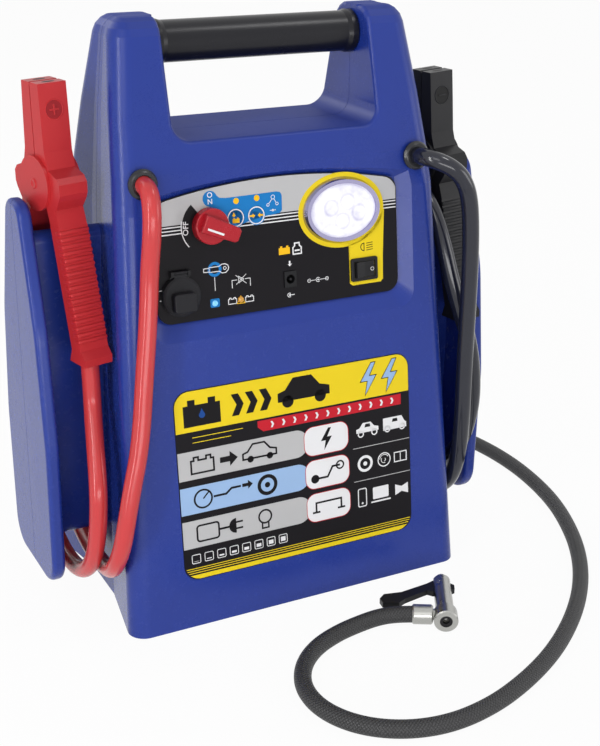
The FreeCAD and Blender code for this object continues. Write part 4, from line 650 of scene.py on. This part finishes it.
def panel_prints():
    """Grey head, pinstripes, blue decal of the knob, yellow field of the lamp, and pictograms."""
    def sheet(name, colour, layer):
        return Print("panel_" + name, colour, spot(FACE, 0, 0, PANEL_LEVEL + PRINT_STEP * layer))

    grey = sheet("grey_head", GREY_INK, 1)
    left, right = PANEL_LEFT + PANEL_INSET, PANEL_RIGHT - PANEL_INSET
    grey.area([(left, 277.6), (right, 277.6)] + panel_head(PANEL_INSET))
    grey.done()

    lines = sheet("pinstripes", WHITE_INK, 1)
    for v in (276.3, 274.1, 271.9):
        for start, end in ((left, -74), (-34, 12), (74, right)):
            lines.line(((start, v), (end, v)), 0.75)
    lines.done()

    dark = sheet("off_sector", BLACK_INK, 2)
    dark.ring(KNOB_U, KNOB_V, 18.5, 7, start=128, end=190)
    dark.done()

    decal = sheet("blue_decal", BLUE_INK, 3)
    decal.area([(-49.2, 284.6), (-44, 276), (-33, 273), (-17.5, 276.2), (-4.3, 277.4),
                (-2.5, 279.2), (-2.3, 289.2), (-3.4, 291.1), (-6, 291.8), (-42.6, 291.3),
                (-47, 291.9), (-48.8, 293.6)] + oval_points(-53.6, 292, 5, 5, 20, 250, 30))
    decal.disc(-36.2, 277.6, 6.4)
    decal.disc(-21.3, 277.7, 6.4)
    decal.done()

    yellow = sheet("lamp_field", YELLOW_INK, 2)
    yellow.ring(LAMP_U, LAMP_V, 32.7, 6.9, 25.5)
    yellow.strip(((46.6, 252.4), (46.6, 223)), ((47.2, 252.4), (47.2, 223)))
    yellow.area([(48.8, 221.2), (71, 221.2), (72.9, 223), (73.3, 240), (46.6, 240), (46.6, 223)])
    yellow.area([(46.6, 240), (73.3, 240), (75.2, 272), (66, 259), (56, 252), (46.6, 249.4)])
    yellow.done()

    amber = sheet("amber_marks", AMBER_INK, 4)
    for u, v in ((-35.3, 288.6), (-20.5, 289)):
        amber.disc(u, v, 2)
    amber.symbol(BATTERY, -36, 276, 2.5)
    amber.symbol(DROP, -37.4, 279.8, 1.5)
    amber.symbol(ARROW, -24.2, 277.6, 2)
    amber.symbol(ARROW, -18.4, 277.6, 2, turn=180)
    amber.symbol(BATTERY, -2.2, 252.2, 4.1)
    amber.symbol(TRIANGLE, -35.7, 223.1, 2.9, 0.45)
    amber.done()

    white = sheet("white_marks", WHITE_INK, 4)
    # Rings and words round the knob
    for u, v in ((-36.2, 277.6), (-21.3, 277.7)):
        white.ring(u, v, 5.9, 0.75)
    white.word("O", -53.6, 294.2, 3.4)
    white.word("N", -53.6, 289.9, 3.4)
    white.word("OFF", -71.4, 274.6, 3.7, 86)
    white.ring(KNOB_U, KNOB_V, 19.4, 0.7, start=166, end=221)
    # Leads between the poles of two batteries
    for u, v, radius in ((-8.8, 288.4, 1.5), (-12.6, 283.6, 1.1), (-6, 283.8, 1.1),
                         (-9.2, 279.8, 0.8)):
        white.ring(u, v, radius, 0.4)
    white.line(((-12, 284.4), (-9.4, 287.2)), 0.4)
    white.line(((-6.6, 284.6), (-8.2, 287.2)), 0.4)
    white.line(((-11.4, 279.8), (-7, 279.8)), 0.4)
    # A clamp, with the line down to its status light
    white.line(((-61, 244.6), (-57, 244.6), (-57, 247), (-61, 247)), 0.5, True)
    white.line(((-57, 244.2), (-50, 244.2), (-48, 242.8), (-45.4, 242.8), (-43.6, 244.4),
                (-43.2, 246), (-43.8, 247.6), (-45.6, 248.6), (-48, 248.6), (-50, 247.4),
                (-57, 247.4)), 0.55, True)
    white.ring(-46, 245.8, 1.2, 0.45)
    white.line(((-53.6, 240.6), (-53.6, 231.6)), 0.45)
    # A crossed triangle on a bracket over two batteries
    white.line(((-41.4, 231.6), (-41.4, 236.8), (-37.6, 236.8)), 0.4)
    white.line(((-28.2, 231.6), (-28.2, 236.8), (-32, 236.8)), 0.4)
    white.symbol(TRIANGLE, -34.8, 236.8, 2.2, 0.4, -90)
    white.line(((-38.6, 240), (-31, 233.6)), 0.35)
    white.line(((-38.6, 233.6), (-31, 240)), 0.35)
    for u in (-41.8, -29.4):
        white.symbol(BATTERY, u, 223.2, 2.9, 0.5)
    # Charger, arrow and plug at the jack
    white.line(((4.2, 248.6), (10.4, 248.6), (10.4, 253), (9, 254.2), (9, 256), (5.6, 256),
                (5.6, 254.2), (4.2, 253)), 0.9, True)
    white.line(((5.4, 251), (9.2, 251)), 1.1)
    white.symbol(ARROW, 1.3, 242.6, 1.9, turn=-90)
    white.ring(0.2, 221.3, 1.6, 0.45, start=50, end=310)
    white.line(((0.6, 221.3), (4, 221.3)), 0.5)
    white.disc(0.6, 221.3, 0.8)
    # Poles of the jack
    v = 229
    white.ring(22.2, v, 1.7, 0.4, start=40, end=320)
    white.disc(22.2, v, 0.65)
    for u in (15.4, 29):
        white.ring(u, v, 1.3, 0.35)
    for start, end, width in ((16.7, 20.5, 0.35), (22.2, 27.7, 0.35), (14.8, 16, 0.3),
                              (28.4, 29.6, 0.3)):
        white.line(((start, v), (end, v)), width)
    white.line(((29, 228.4), (29, 229.6)), 0.3)
    # Bracket at the outlet
    white.line(((-92.6, 230), (-90, 230), (-90, 236.6), (-92.6, 236.6)), 0.5)
    white.done()

    blue = sheet("blue_marks", BLUE_INK, 3)
    blue.ring(-53.2, 245.8, 4.9, 1.9)
    blue.area(round_box(-57.6, 220.6, -51, 226.4, 1))
    blue.done()

    rays = sheet("lamp_symbol", BLACK_INK, 4)
    rays.ring(58.6, 247, 2.9, 0.6, start=90, end=270)
    rays.line(((58.6, 244.1), (58.6, 249.9)), 0.6)
    for step in range(4):
        v = 244.5 + 1.6 * step
        rays.line(((60.4, v), (65.4, v + 0.4)), 0.5)
    rays.done()


def label_prints():
    """A plain design in the label's colours: bands, fields and pictograms of what the pack does."""
    def sheet(name, colour, layer):
        return Print("label_" + name, colour, spot(FACE, 0, 0, LABEL_LEVEL + PRINT_STEP * layer),
                     slot="label_print")

    left, right, head, foot, corner = -89.4, 89.4, 167.8, 34.8, 10.4
    yellow = sheet("yellow_head", YELLOW_INK, 1)
    yellow.area([(left, 139.8), (right, 139.8)]
                + oval_points(right - corner, head - corner, corner, corner, 0, 90)
                + oval_points(left + corner, head - corner, corner, corner, 90, 180))
    yellow.area([(right - 3.4, 37.9), (left + 3.4, 37.9), (left + 7, 35.6), (left + corner, foot),
                 (right - corner, foot), (right - 7, 35.6)])
    for v, inset in ((39.4, 2.4), (41.1, 1.4), (42.7, 0.8)):
        yellow.line(((left + inset, v), (right - inset, v)), 0.55)
    yellow.line(((-78, 135.6), (-41, 135.6)), 0.5)
    yellow.line(((-78, 132), (-50, 132)), 0.5)
    yellow.done()

    grey = sheet("grey_bands", GREY_INK, 1)
    for low, high in ((106.4, 126.4), (57.5, 77.3)):
        rounded = oval_points(-2, (low + high) / 2, 10, (high - low) / 2, -90, 90)
        grey.area([(left, low), (-2, low)] + rounded + [(left, high)])
    for v in (104.1, 79.2):
        grey.line(((43, v), (right, v)), 0.5)
    grey.done()

    sky = sheet("sky_band", SKY_INK, 1)
    sky.area([(left, 82), (-2, 82)] + oval_points(-2, 91.7, 10, 9.7, -90, 90) + [(left, 101.4)])
    sky.done()
    bolts = sheet("sky_bolts", SKY_INK, 2)
    for u in (57, 74):
        bolts.symbol(BOLT, u, 153.6, 11.6)
    bolts.done()

    red = sheet("red_stripe", RED_INK, 1)
    red.area([(-26, 130.6), (83, 130.6), (83, 138.4), (-30, 138.4), (-30, 134)])
    red.done()

    fields = sheet("white_fields", WHITE_INK, 2)
    rims = sheet("red_rims", RED_INK, 3)
    for v in (116, 91.4, 66.6):
        corners = round_box(4.6, v - 10.6, 39.4, v + 10.6, 7)
        fields.area(corners)
        rims.line(corners, 0.45, True)
    for step in range(12):
        fields.symbol(CHEVRON, -19 + 8.6 * step, 134.5, 2.2)
    rims.done()
    fields.done()

    white = sheet("white_pictograms", WHITE_INK, 2)
    # Car, van and their wheels
    white.symbol(CAR, 55, 117.6, 9)
    white.symbol(VAN, 77.5, 117, 9.6)
    for u in (49.6, 60.6, 71.4, 83.6):
        white.ring(u, 114, 2.5, 0.9)
    # Tyre, ball and book
    white.ring(52.4, 91.6, 6.2, 2)
    white.disc(52.4, 91.6, 1.6)
    white.ring(68, 91.6, 5.4, 0.8)
    for step in range(3):
        white.ring(68, 91.6, 4 - 1.3 * step, 0.5, start=30 + 120 * step, end=170 + 120 * step)
    white.line(((76.5, 88), (86.5, 88), (86.5, 95), (76.5, 95)), 0.8, True)
    white.line(((81.5, 88), (81.5, 95)), 0.6)
    # Phone, screen and bow
    white.line(round_box(46, 59.6, 52.6, 73, 1.2), 0.8, True)
    white.disc(49.3, 62, 0.8)
    white.area(round_box(58, 63, 71, 72, 0.8))
    white.line(((56.4, 61), (72.6, 61)), 1.2)
    white.area([(76.6, 62.4), (82, 64.6), (87.4, 62.4), (87.4, 70.6), (82, 68.4), (76.6, 70.6)])
    # Eight cells that fill up from left to right
    for step in range(8):
        u = -84 + 9.4 * step
        white.line(round_box(u, 46.4, u + 6.2, 52.6, 0.9), 0.5, True)
        white.area(round_box(u + 1.3, 47.7, u + 4.9, 47.9 + 0.45 * step, 0.05))
    white.done()

    black = sheet("black_pictograms", BLACK_INK, 3)
    # Battery, chevrons, car and bolts in the yellow head
    black.symbol(BATTERY, -70, 152.6, 13.4)
    for step in range(3):
        black.symbol(CHEVRON, -44 + 10.4 * step, 153, 7.6)
    black.symbol(CAR, 6, 154.6, 20)
    for u in (-6.4, 18.6):
        black.disc(u, 148.4, 4.4)
    for u in (57, 74):
        black.symbol(BOLT, u, 153.6, 11.8, 0.55)
    # Battery to car in the upper grey band
    black.symbol(BATTERY, -72, 116.2, 8.2, 1.3)
    black.symbol(ARROW, -52.6, 116.2, 6.6)
    black.symbol(CAR, -29.6, 116.8, 12.6, 1.3)
    for u in (-36.6, -22):
        black.disc(u, 112.6, 2.4)
    # Gauge to tyre in the sky band
    black.ring(-73, 91.7, 7, 1.3)
    black.line(((-73, 91.7), (-69, 95.7)), 1)
    black.line(((-65.4, 91.7), (-56, 91.7), (-52, 95), (-45, 95)), 1.5)
    black.symbol(ARROW, -40, 95, 4)
    black.ring(-25, 91.7, 7.6, 2.6)
    black.disc(-25, 91.7, 2)
    # Outlet, plug and bulb in the lower grey band
    black.line(round_box(-79, 61.6, -63, 73, 2), 1.3, True)
    black.line(((-63, 67.3), (-50, 67.3)), 1.5)
    for v in (65, 69.6):
        black.line(((-50, v), (-45, v)), 1.3)
    black.area(oval_points(-50, 67.3, 5.4, 5.4, 90, 270))
    black.ring(-28, 69, 5.4, 1.3)
    black.line(((-30.4, 64.4), (-30.4, 60.6), (-25.6, 60.6), (-25.6, 64.4)), 1.2)
    # The three white fields, and the windows of car and van
    black.symbol(BOLT, 22, 116, 8)
    black.line(((12, 88), (22, 88), (26, 95), (32, 95)), 1.5)
    black.disc(12, 88, 3.2)
    black.ring(32, 95, 3.4, 1.2)
    black.line(((12, 63), (12, 70), (32, 70), (32, 63)), 1.4)
    for u in (12, 32):
        black.line(((u - 3, 63), (u + 3, 63)), 1.4)
    for u in (55, 77.5):
        black.area(((u - 2.4, 118.6), (u + 2.4, 118.6), (u + 2, 121), (u - 1.6, 121)))
    black.done()

    blue = sheet("blue_drops", DEEP_INK, 4)
    blue.symbol(DROP, -70, 151.4, 3.4)
    blue.done()


panel_prints()
label_prints()


# Work light, status lights, gauge, clamps and chuck

LIGHT_CHIPS = ((-9, 2.5), (3.5, 5.5), (12, -2.5), (-1, -7))
CHIP_RADIUS = 5.2


def lamp_lens_finish():
    """Lit lens: four round light chips behind a clear, faintly rippled cover."""
    finish = Finish("lit_lamp_lens", Roughness=0.12, Emission_Strength=0.92, Coat_Weight=0.25)
    x, y, z = finish.axes()
    across = x * 1000 - LAMP_U
    upward = (y * 1000 + BASE_DEPTH / 2) * LEAN_SIN + z * 1000 * LEAN_COS - LAMP_V
    chip_rim_shade = 0
    for u, v in LIGHT_CHIPS:
        far = ((across - u) ** 2 + (upward - v) ** 2) ** 0.5
        rim = 1 - abs(far - CHIP_RADIUS) * 0.7
        chip_rim_shade = rim.top(0) + chip_rim_shade
    edge = ((across / LAMP_WIDE) ** 2 + (upward / LAMP_TALL) ** 2) ** 0.5
    # Painted shade: darker near the edge, in the dips of a noise and on the rims of the chips
    painted_dip_shade = (finish.noise(90, 3) - 0.42).top(0) * 1.6
    shade = ((edge - 0.82).top(0) * 3.2 + painted_dip_shade + chip_rim_shade * 0.3).least(1)
    finish.feed("Base Color", finish.mix(shade, rgb(120, 120, 126), rgb(60, 58, 80)))
    finish.feed("Emission Color", finish.mix(shade, rgb(255, 255, 255), rgb(176, 172, 214)))
    finish.bump(((across * 2.2).sine() + (upward * 2.2).sine()) * 0.5, 0.05 * MM)
    return finish.material


def lit(name, dark, bright, power):
    """Tinted status light, lit in darker and brighter spots."""
    finish = Finish(name, Roughness=0.15, Emission_Strength=power, Coat_Weight=0.5)
    spots = finish.noise(900, 2)
    finish.feed("Base Color", finish.mix(spots, dark, bright))
    finish.feed("Emission Color", finish.mix(spots, dark, bright))
    return finish.material


def clear_glass():
    """Clear cover with faint smears."""
    finish = Finish("gauge_glass", Roughness=0.03, Alpha=0.14, Coat_Weight=0.6)
    smears = finish.noise(60, 4)
    finish.feed("Base Color", finish.mix(smears, rgb(226, 234, 238), rgb(244, 248, 250)))
    return finish.material


dress("control_panel front_label", ink("black_film", rgb(20, 18, 22), 0.3))
dress("lamp_lens", lamp_lens_finish())
dress("lamp_bulb gauge_glass", clear_glass())
dress("charged_led", lit("blue_status_light", rgb(40, 140, 205), rgb(150, 215, 245), 0.5))
dress("charging_led", lit("amber_status_light", rgb(150, 96, 24), rgb(226, 170, 60), 0.12))
dress("gauge_dial", moulded("dial_white", rgb(232, 232, 228), 0.4, 0.3, 0.004, 0.03))
# Bezel metal tinted lilac: a painted reflection
dress("lamp_bezel", metal("bright_bezel", rgb(176, 172, 206), 0.16, 0.3))


def gauge_and_switch_prints():
    """Marks of the dial, beside the compressor switch and on the rocker of the work light."""
    gauge = spot(REAR_FACE, GAUGE_U, GAUGE_V, DIAL_LEVEL)
    black = Print("dial_marks", BLACK_INK, gauge, slot="dial_white")
    low, span, steps = 225, 270, 50
    tick_end, number_out = 19.2, 12
    for step in range(steps + 1):
        angle = math.radians(low - span * step / steps)
        east, north = math.cos(angle), math.sin(angle)
        numbered = step % 10 == 0
        near, wide = (15.4, 0.5) if numbered else (17, 0.25)
        black.line(((near * east, near * north), (tick_end * east, tick_end * north)), wide)
        if numbered:
            black.word(str(step // 5), number_out * east, number_out * north, 2.9)
    black.ring(0, 0, 19.6, 0.35)
    black.done()
    red = Print("dial_red_field", RED_INK, gauge, slot="dial_white")
    red.ring(0, 0, 20.8, 0.9, start=-45, end=18)
    red.done()
    switch = spot(REAR_FACE, PUMP_SWITCH_U, PUMP_SWITCH_V, PUMP_SIGN_LEVEL)
    marks = Print("compressor_switch_marks", WHITE_INK, switch, slot="casing_blue")
    marks.ring(-14.5, 0, 2, 0.5)
    marks.line(((14.5, -2), (14.5, 2)), 0.6)
    sign_up = 16
    marks.ring(0, sign_up, 3.6, 0.7)
    for step in range(3):
        marks.symbol(DROP, 2 * math.cos(2.1 * step), sign_up + 2 * math.sin(2.1 * step), 1.1,
                     turn=120 * step - 90)
    marks.done()
    paddle = spot(FACE, LIGHT_SWITCH_U, LIGHT_SWITCH_V, PANEL_LEVEL + ROCKER_TOP) \
        @ turned(ROCKER_TILT, "Y")
    sign = Print("light_switch_marks", WHITE_INK, paddle, "light_paddle", "black_plastic")
    sign.ring(5.2, 0, 1.3, 0.3)
    sign.done()


gauge_and_switch_prints()

SHARP_CORNER, SOFT_EDGE, EDGE_STEPS, LATHE_SIDES = 35, 0.2, 3, 40


def finished(name, mesh, finish, body):
    """Object of a mesh, smooth but for its corners, riding on its body."""
    bmesh.ops.recalc_face_normals(mesh, faces=mesh.faces)
    data = kept_mesh(name, mesh)
    data.materials.append(finish)
    data.shade_smooth()
    data.set_sharp_from_angle(angle=math.radians(SHARP_CORNER))
    piece = placed(name, data)
    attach(piece, body)


def soften(mesh, edges, reach):
    """Round some edges of a mesh."""
    bmesh.ops.bevel(mesh, geom=edges, offset=reach, segments=EDGE_STEPS, profile=0.5,
                    affect="EDGES")


def raised(name, corners, height, plane, finish, body):
    """Low moulded form: an outline lifted off a face, with a soft edge."""
    mesh = bmesh.new()
    face = mesh.faces.new([mesh.verts.new((u, v, 0)) for u, v in corners])
    top = bmesh.ops.extrude_face_region(mesh, geom=[face])["geom"]
    lifted = [item for item in top if isinstance(item, bmesh.types.BMVert)]
    bmesh.ops.translate(mesh, verts=lifted, vec=(0, 0, height))
    upper = [edge for edge in mesh.edges if all(vert.co.z > height / 2 for vert in edge.verts)]
    soften(mesh, upper, SOFT_EDGE)
    mesh.transform(TO_METRES @ plane)
    finished(name, mesh, finish, body)


def lathed(name, profile, plane, finish, body):
    """Form turned about the third axis of a plane from pairs of radius and height."""
    mesh = bmesh.new()
    angles = [2 * math.pi * step / LATHE_SIDES for step in range(LATHE_SIDES)]
    circle = [(math.cos(angle), math.sin(angle)) for angle in angles]
    rings = []
    for radius, height in profile:
        if radius == 0:
            rings.append([mesh.verts.new((0, 0, height))] * LATHE_SIDES)
        else:
            rings.append([mesh.verts.new((radius * x, radius * y, height)) for x, y in circle])
    for low, high in zip(rings, rings[1:]):
        for step in range(LATHE_SIDES):
            following = (step + 1) % LATHE_SIDES
            around = [low[step], low[following], high[following], high[step]]
            mesh.faces.new(list(dict.fromkeys(around)))
    mesh.transform(TO_METRES @ plane)
    finished(name, mesh, finish, body)


# Darker copies of the clamp plastics: painted shade for the sunken fields and slots
red_painted_shade = moulded("red_plastic_in_painted_shade", rgb(150, 30, 36), 0.5, 0.5, 0.02)
black_painted_shade = moulded("black_plastic_in_painted_shade", rgb(15, 15, 16), 0.5, 0.5, 0.02)
CLAMPS = (("red", RED_CLAMP, clamp_red, red_painted_shade, "casing", "red_clamp_arm"),
          ("black", BLACK_CLAMP, clamp_black, black_painted_shade, "black_clamp_arm", "casing"))
SIGN_OUT, SIGN_UP, SIGN_TURN = 11.1, 47, math.pi / 2 - math.atan2(1, 19)
NOSE_OUT, NOSE_TOP, CHEEK_OUT = 5.6, 63.56, 12.3
RIM_PROFILE = ((5.7, 0), (5.85, 0.3), (6.1, 0.4), (6.35, 0.3), (6.5, 0))
CAP_PROFILE = ((3.6, 0), (3.4, 0.5), (2.9, 0.7), (2.2, 0.62), (1.7, 0.3), (1, 0.12), (0, 0.1))


def clamp_signs():
    """Pole sign in a ring on each front jaw on a darker field of painted shade, the slots in both
    noses as flat dark ovals of painted shade, and the caps of the pivot.
    """
    for colour, clamp, finish, shade_finish, front_body, rear_body in CLAMPS:
        slot = "clamp_" + colour
        outside = spot(clamp, 0, -SIGN_OUT, SIGN_UP) @ Matrix.Rotation(SIGN_TURN, 4, "X")
        # Flat darker disc as the sunken field of the sign: painted shade
        field = Print(colour + "_pole_field", shade_finish, spot(outside, 0, 0, 0.05), front_body, slot)
        field.disc(0, 0, 5.9)
        field.done()
        lathed(colour + "_pole_rim", RIM_PROFILE, outside, finish, front_body)
        for turn in (0, 90) if colour == "red" else (0,):
            raised("%s_pole_bar_%d" % (colour, turn), round_box(-3.3, -0.5, 3.3, 0.5, 0.3), 0.5,
                   outside @ turned(turn, "Z"), finish, front_body)
        for side, body in ((-1, front_body), (1, rear_body)):
            # Flat dark oval standing for the slot in the nose: painted shade
            hole = Print("%s_nose_slot_%d" % (colour, side + 1), black_painted_shade,
                         spot(clamp, 0, side * NOSE_OUT, NOSE_TOP), body, slot)
            hole.area(oval_points(0, 0, 4.4, 1.9))
            hole.done()
        for side in (-1, 1):
            outward = Matrix.Rotation(side * math.pi / 2, 4, "Y")
            lathed("%s_pivot_cap_%d" % (colour, side + 1), CAP_PROFILE,
                   spot(clamp, side * CHEEK_OUT, 0, 0) @ outward, finish, front_body)


RIB_TOP, RIB_PITCH, RIB_COUNT = 28.0, 4.307, 17
RIB_SIZE, RIB_SUNK, RIB_EDGE = (21.2, 7, 2.6), 2.4, 0.8
GRIP_OUT, GRIP_TOP, GRIP_SPREAD, GRIP_RUN = 25, 25, 16.5, 78


def grip_ribs():
    """Rounded ribs across the outside of each handle, wrapped a little round its flanks."""
    slope = math.atan2(GRIP_SPREAD, GRIP_RUN)
    for colour, clamp, finish, _, front_body, rear_body in CLAMPS:
        for end, side, body in (("front", -1, front_body), ("rear", 1, rear_body)):
            mesh = bmesh.new()
            for step in range(RIB_COUNT):
                level = RIB_TOP + RIB_PITCH * step
                out = side * (GRIP_OUT + (level - GRIP_TOP) * GRIP_SPREAD / GRIP_RUN)
                seat = Matrix.Translation((0, out, -level)) @ Matrix.Rotation(side * slope, 4, "X")
                shape = spot(seat, 0, -side * RIB_SUNK, 0) @ Matrix.Diagonal((*RIB_SIZE, 1))
                bar = bmesh.ops.create_cube(mesh, size=1, matrix=shape)["verts"]
                edges = list({edge for corner in bar for edge in corner.link_edges})
                soften(mesh, edges, RIB_EDGE)
            mesh.transform(TO_METRES @ clamp)
            finished("%s_%s_grip_ribs" % (colour, end), mesh, finish, body)


def knob_line():
    """White line along the knob's lever."""
    knob = spot(FACE, KNOB_U, KNOB_V, PANEL_LEVEL) @ turned(KNOB_TURN, "Z")
    line = Print("knob_line", WHITE_INK, spot(knob, 0, 0, KNOB_TOP), "knob", "knob_red")
    line.line(((-5.4, -2.6), (6.6, -2.6)), 1.3)
    line.done()


clamp_signs()
grip_ribs()
knob_line()


# Light, floor and background

WORLD_LIGHT, FLOOR_WHITE, FLOOR_REACH = 0.36, 0.95, 6
# Name, place, point aimed at, width, height and power
LIGHTS = (("key_softbox", (-1.1, -1.5, 1.5), (0, 0, 0.2), 0.9, 0.9, 5.5),
          ("low_softbox", (-0.3, -1.3, 0.16), (0.05, 0, 0.03), 1, 0.3, 5),
          ("right_softbox", (1.3, -0.9, 0.4), (0, 0, 0.15), 0.6, 0.6, 3),
          ("left_strip", (-1.15, -0.62, 0.55), (0, 0, 0.25), 0.12, 1.1, 6.5),
          ("top_softbox", (0.62, -0.5, 1.5), (0, 0, 0.3), 0.3, 0.3, 2.5),
          ("rear_softbox", (-0.8, 1.5, 1.5), (0, 0, 0.2), 1.2, 1.2, 9))


def add_light(name, place, aim, width, tall, power):
    """Studio light at a place, turned to the point aimed at."""
    data = bpy.data.lights.new(name, "AREA")
    data.shape = "RECTANGLE"
    data.size, data.size_y = width, tall
    data.energy = power
    light = placed(name, data)
    light.location = place
    light.rotation_euler = (Vector(aim) - Vector(place)).to_track_quat("-Z", "Y").to_euler()


def seen_rays(tree):
    """1 for rays from the camera and in mirrors and glass, 0 for rays that light the object."""
    path = tree.node("ShaderNodeLightPath", {}, {}, "Is Camera Ray")
    outputs = path.socket.node.outputs
    return (path + Value(tree, outputs["Is Glossy Ray"])
            + Value(tree, outputs["Is Transmission Ray"])).least(1)


def add_world():
    """Plain white light all round, which cameras and mirrors see as full white."""
    world = bpy.data.worlds.new("white_studio")
    scene.world = world
    world.use_nodes = True
    sky = Tree(world.node_tree)
    light = Value(sky, world.node_tree.nodes["Background"].outputs[0])
    sky.join(light.socket.node.inputs["Strength"], WORLD_LIGHT)
    sky.join(light.socket.node.inputs["Color"], (1, 1, 1, 1))
    seen = sky.node("ShaderNodeBackground", {}, {"Color": (1, 1, 1, 1), "Strength": 1.0})
    blend = sky.node("ShaderNodeMixShader", {}, {0: seen_rays(sky), 1: light, 2: seen})
    sky.join(world.node_tree.nodes["World Output"].inputs[0], blend)


def add_floor():
    """Pale floor that looks almost white to the camera and keeps a faint shadow."""
    reach = FLOOR_REACH
    mesh = bpy.data.meshes.new("floor")
    mesh.from_pydata([(-reach, -reach, 0), (reach, -reach, 0), (reach, reach, 0),
                      (-reach, reach, 0)], [], [(0, 1, 2, 3)])
    placed("floor", mesh)
    finish = Finish("white_floor", Roughness=0.6)
    pale = finish.mix(finish.noise(3, 3), rgb(238, 238, 240), rgb(246, 246, 247))
    finish.feed("Base Color", pale)
    matt = Value(finish, finish.shader.outputs[0])
    white = finish.node("ShaderNodeEmission", {}, {"Color": (1, 1, 1, 1), "Strength": 1.0})
    shown = finish.node("ShaderNodeMixShader", {}, {
        0: seen_rays(finish) * FLOOR_WHITE, 1: matt, 2: white})
    finish.join(finish.tree.nodes["Material Output"].inputs[0], shown)
    mesh.materials.append(finish.material)


for row in LIGHTS:
    add_light(*row)
add_world()
add_floor()
scene.view_settings.view_transform = "Standard"
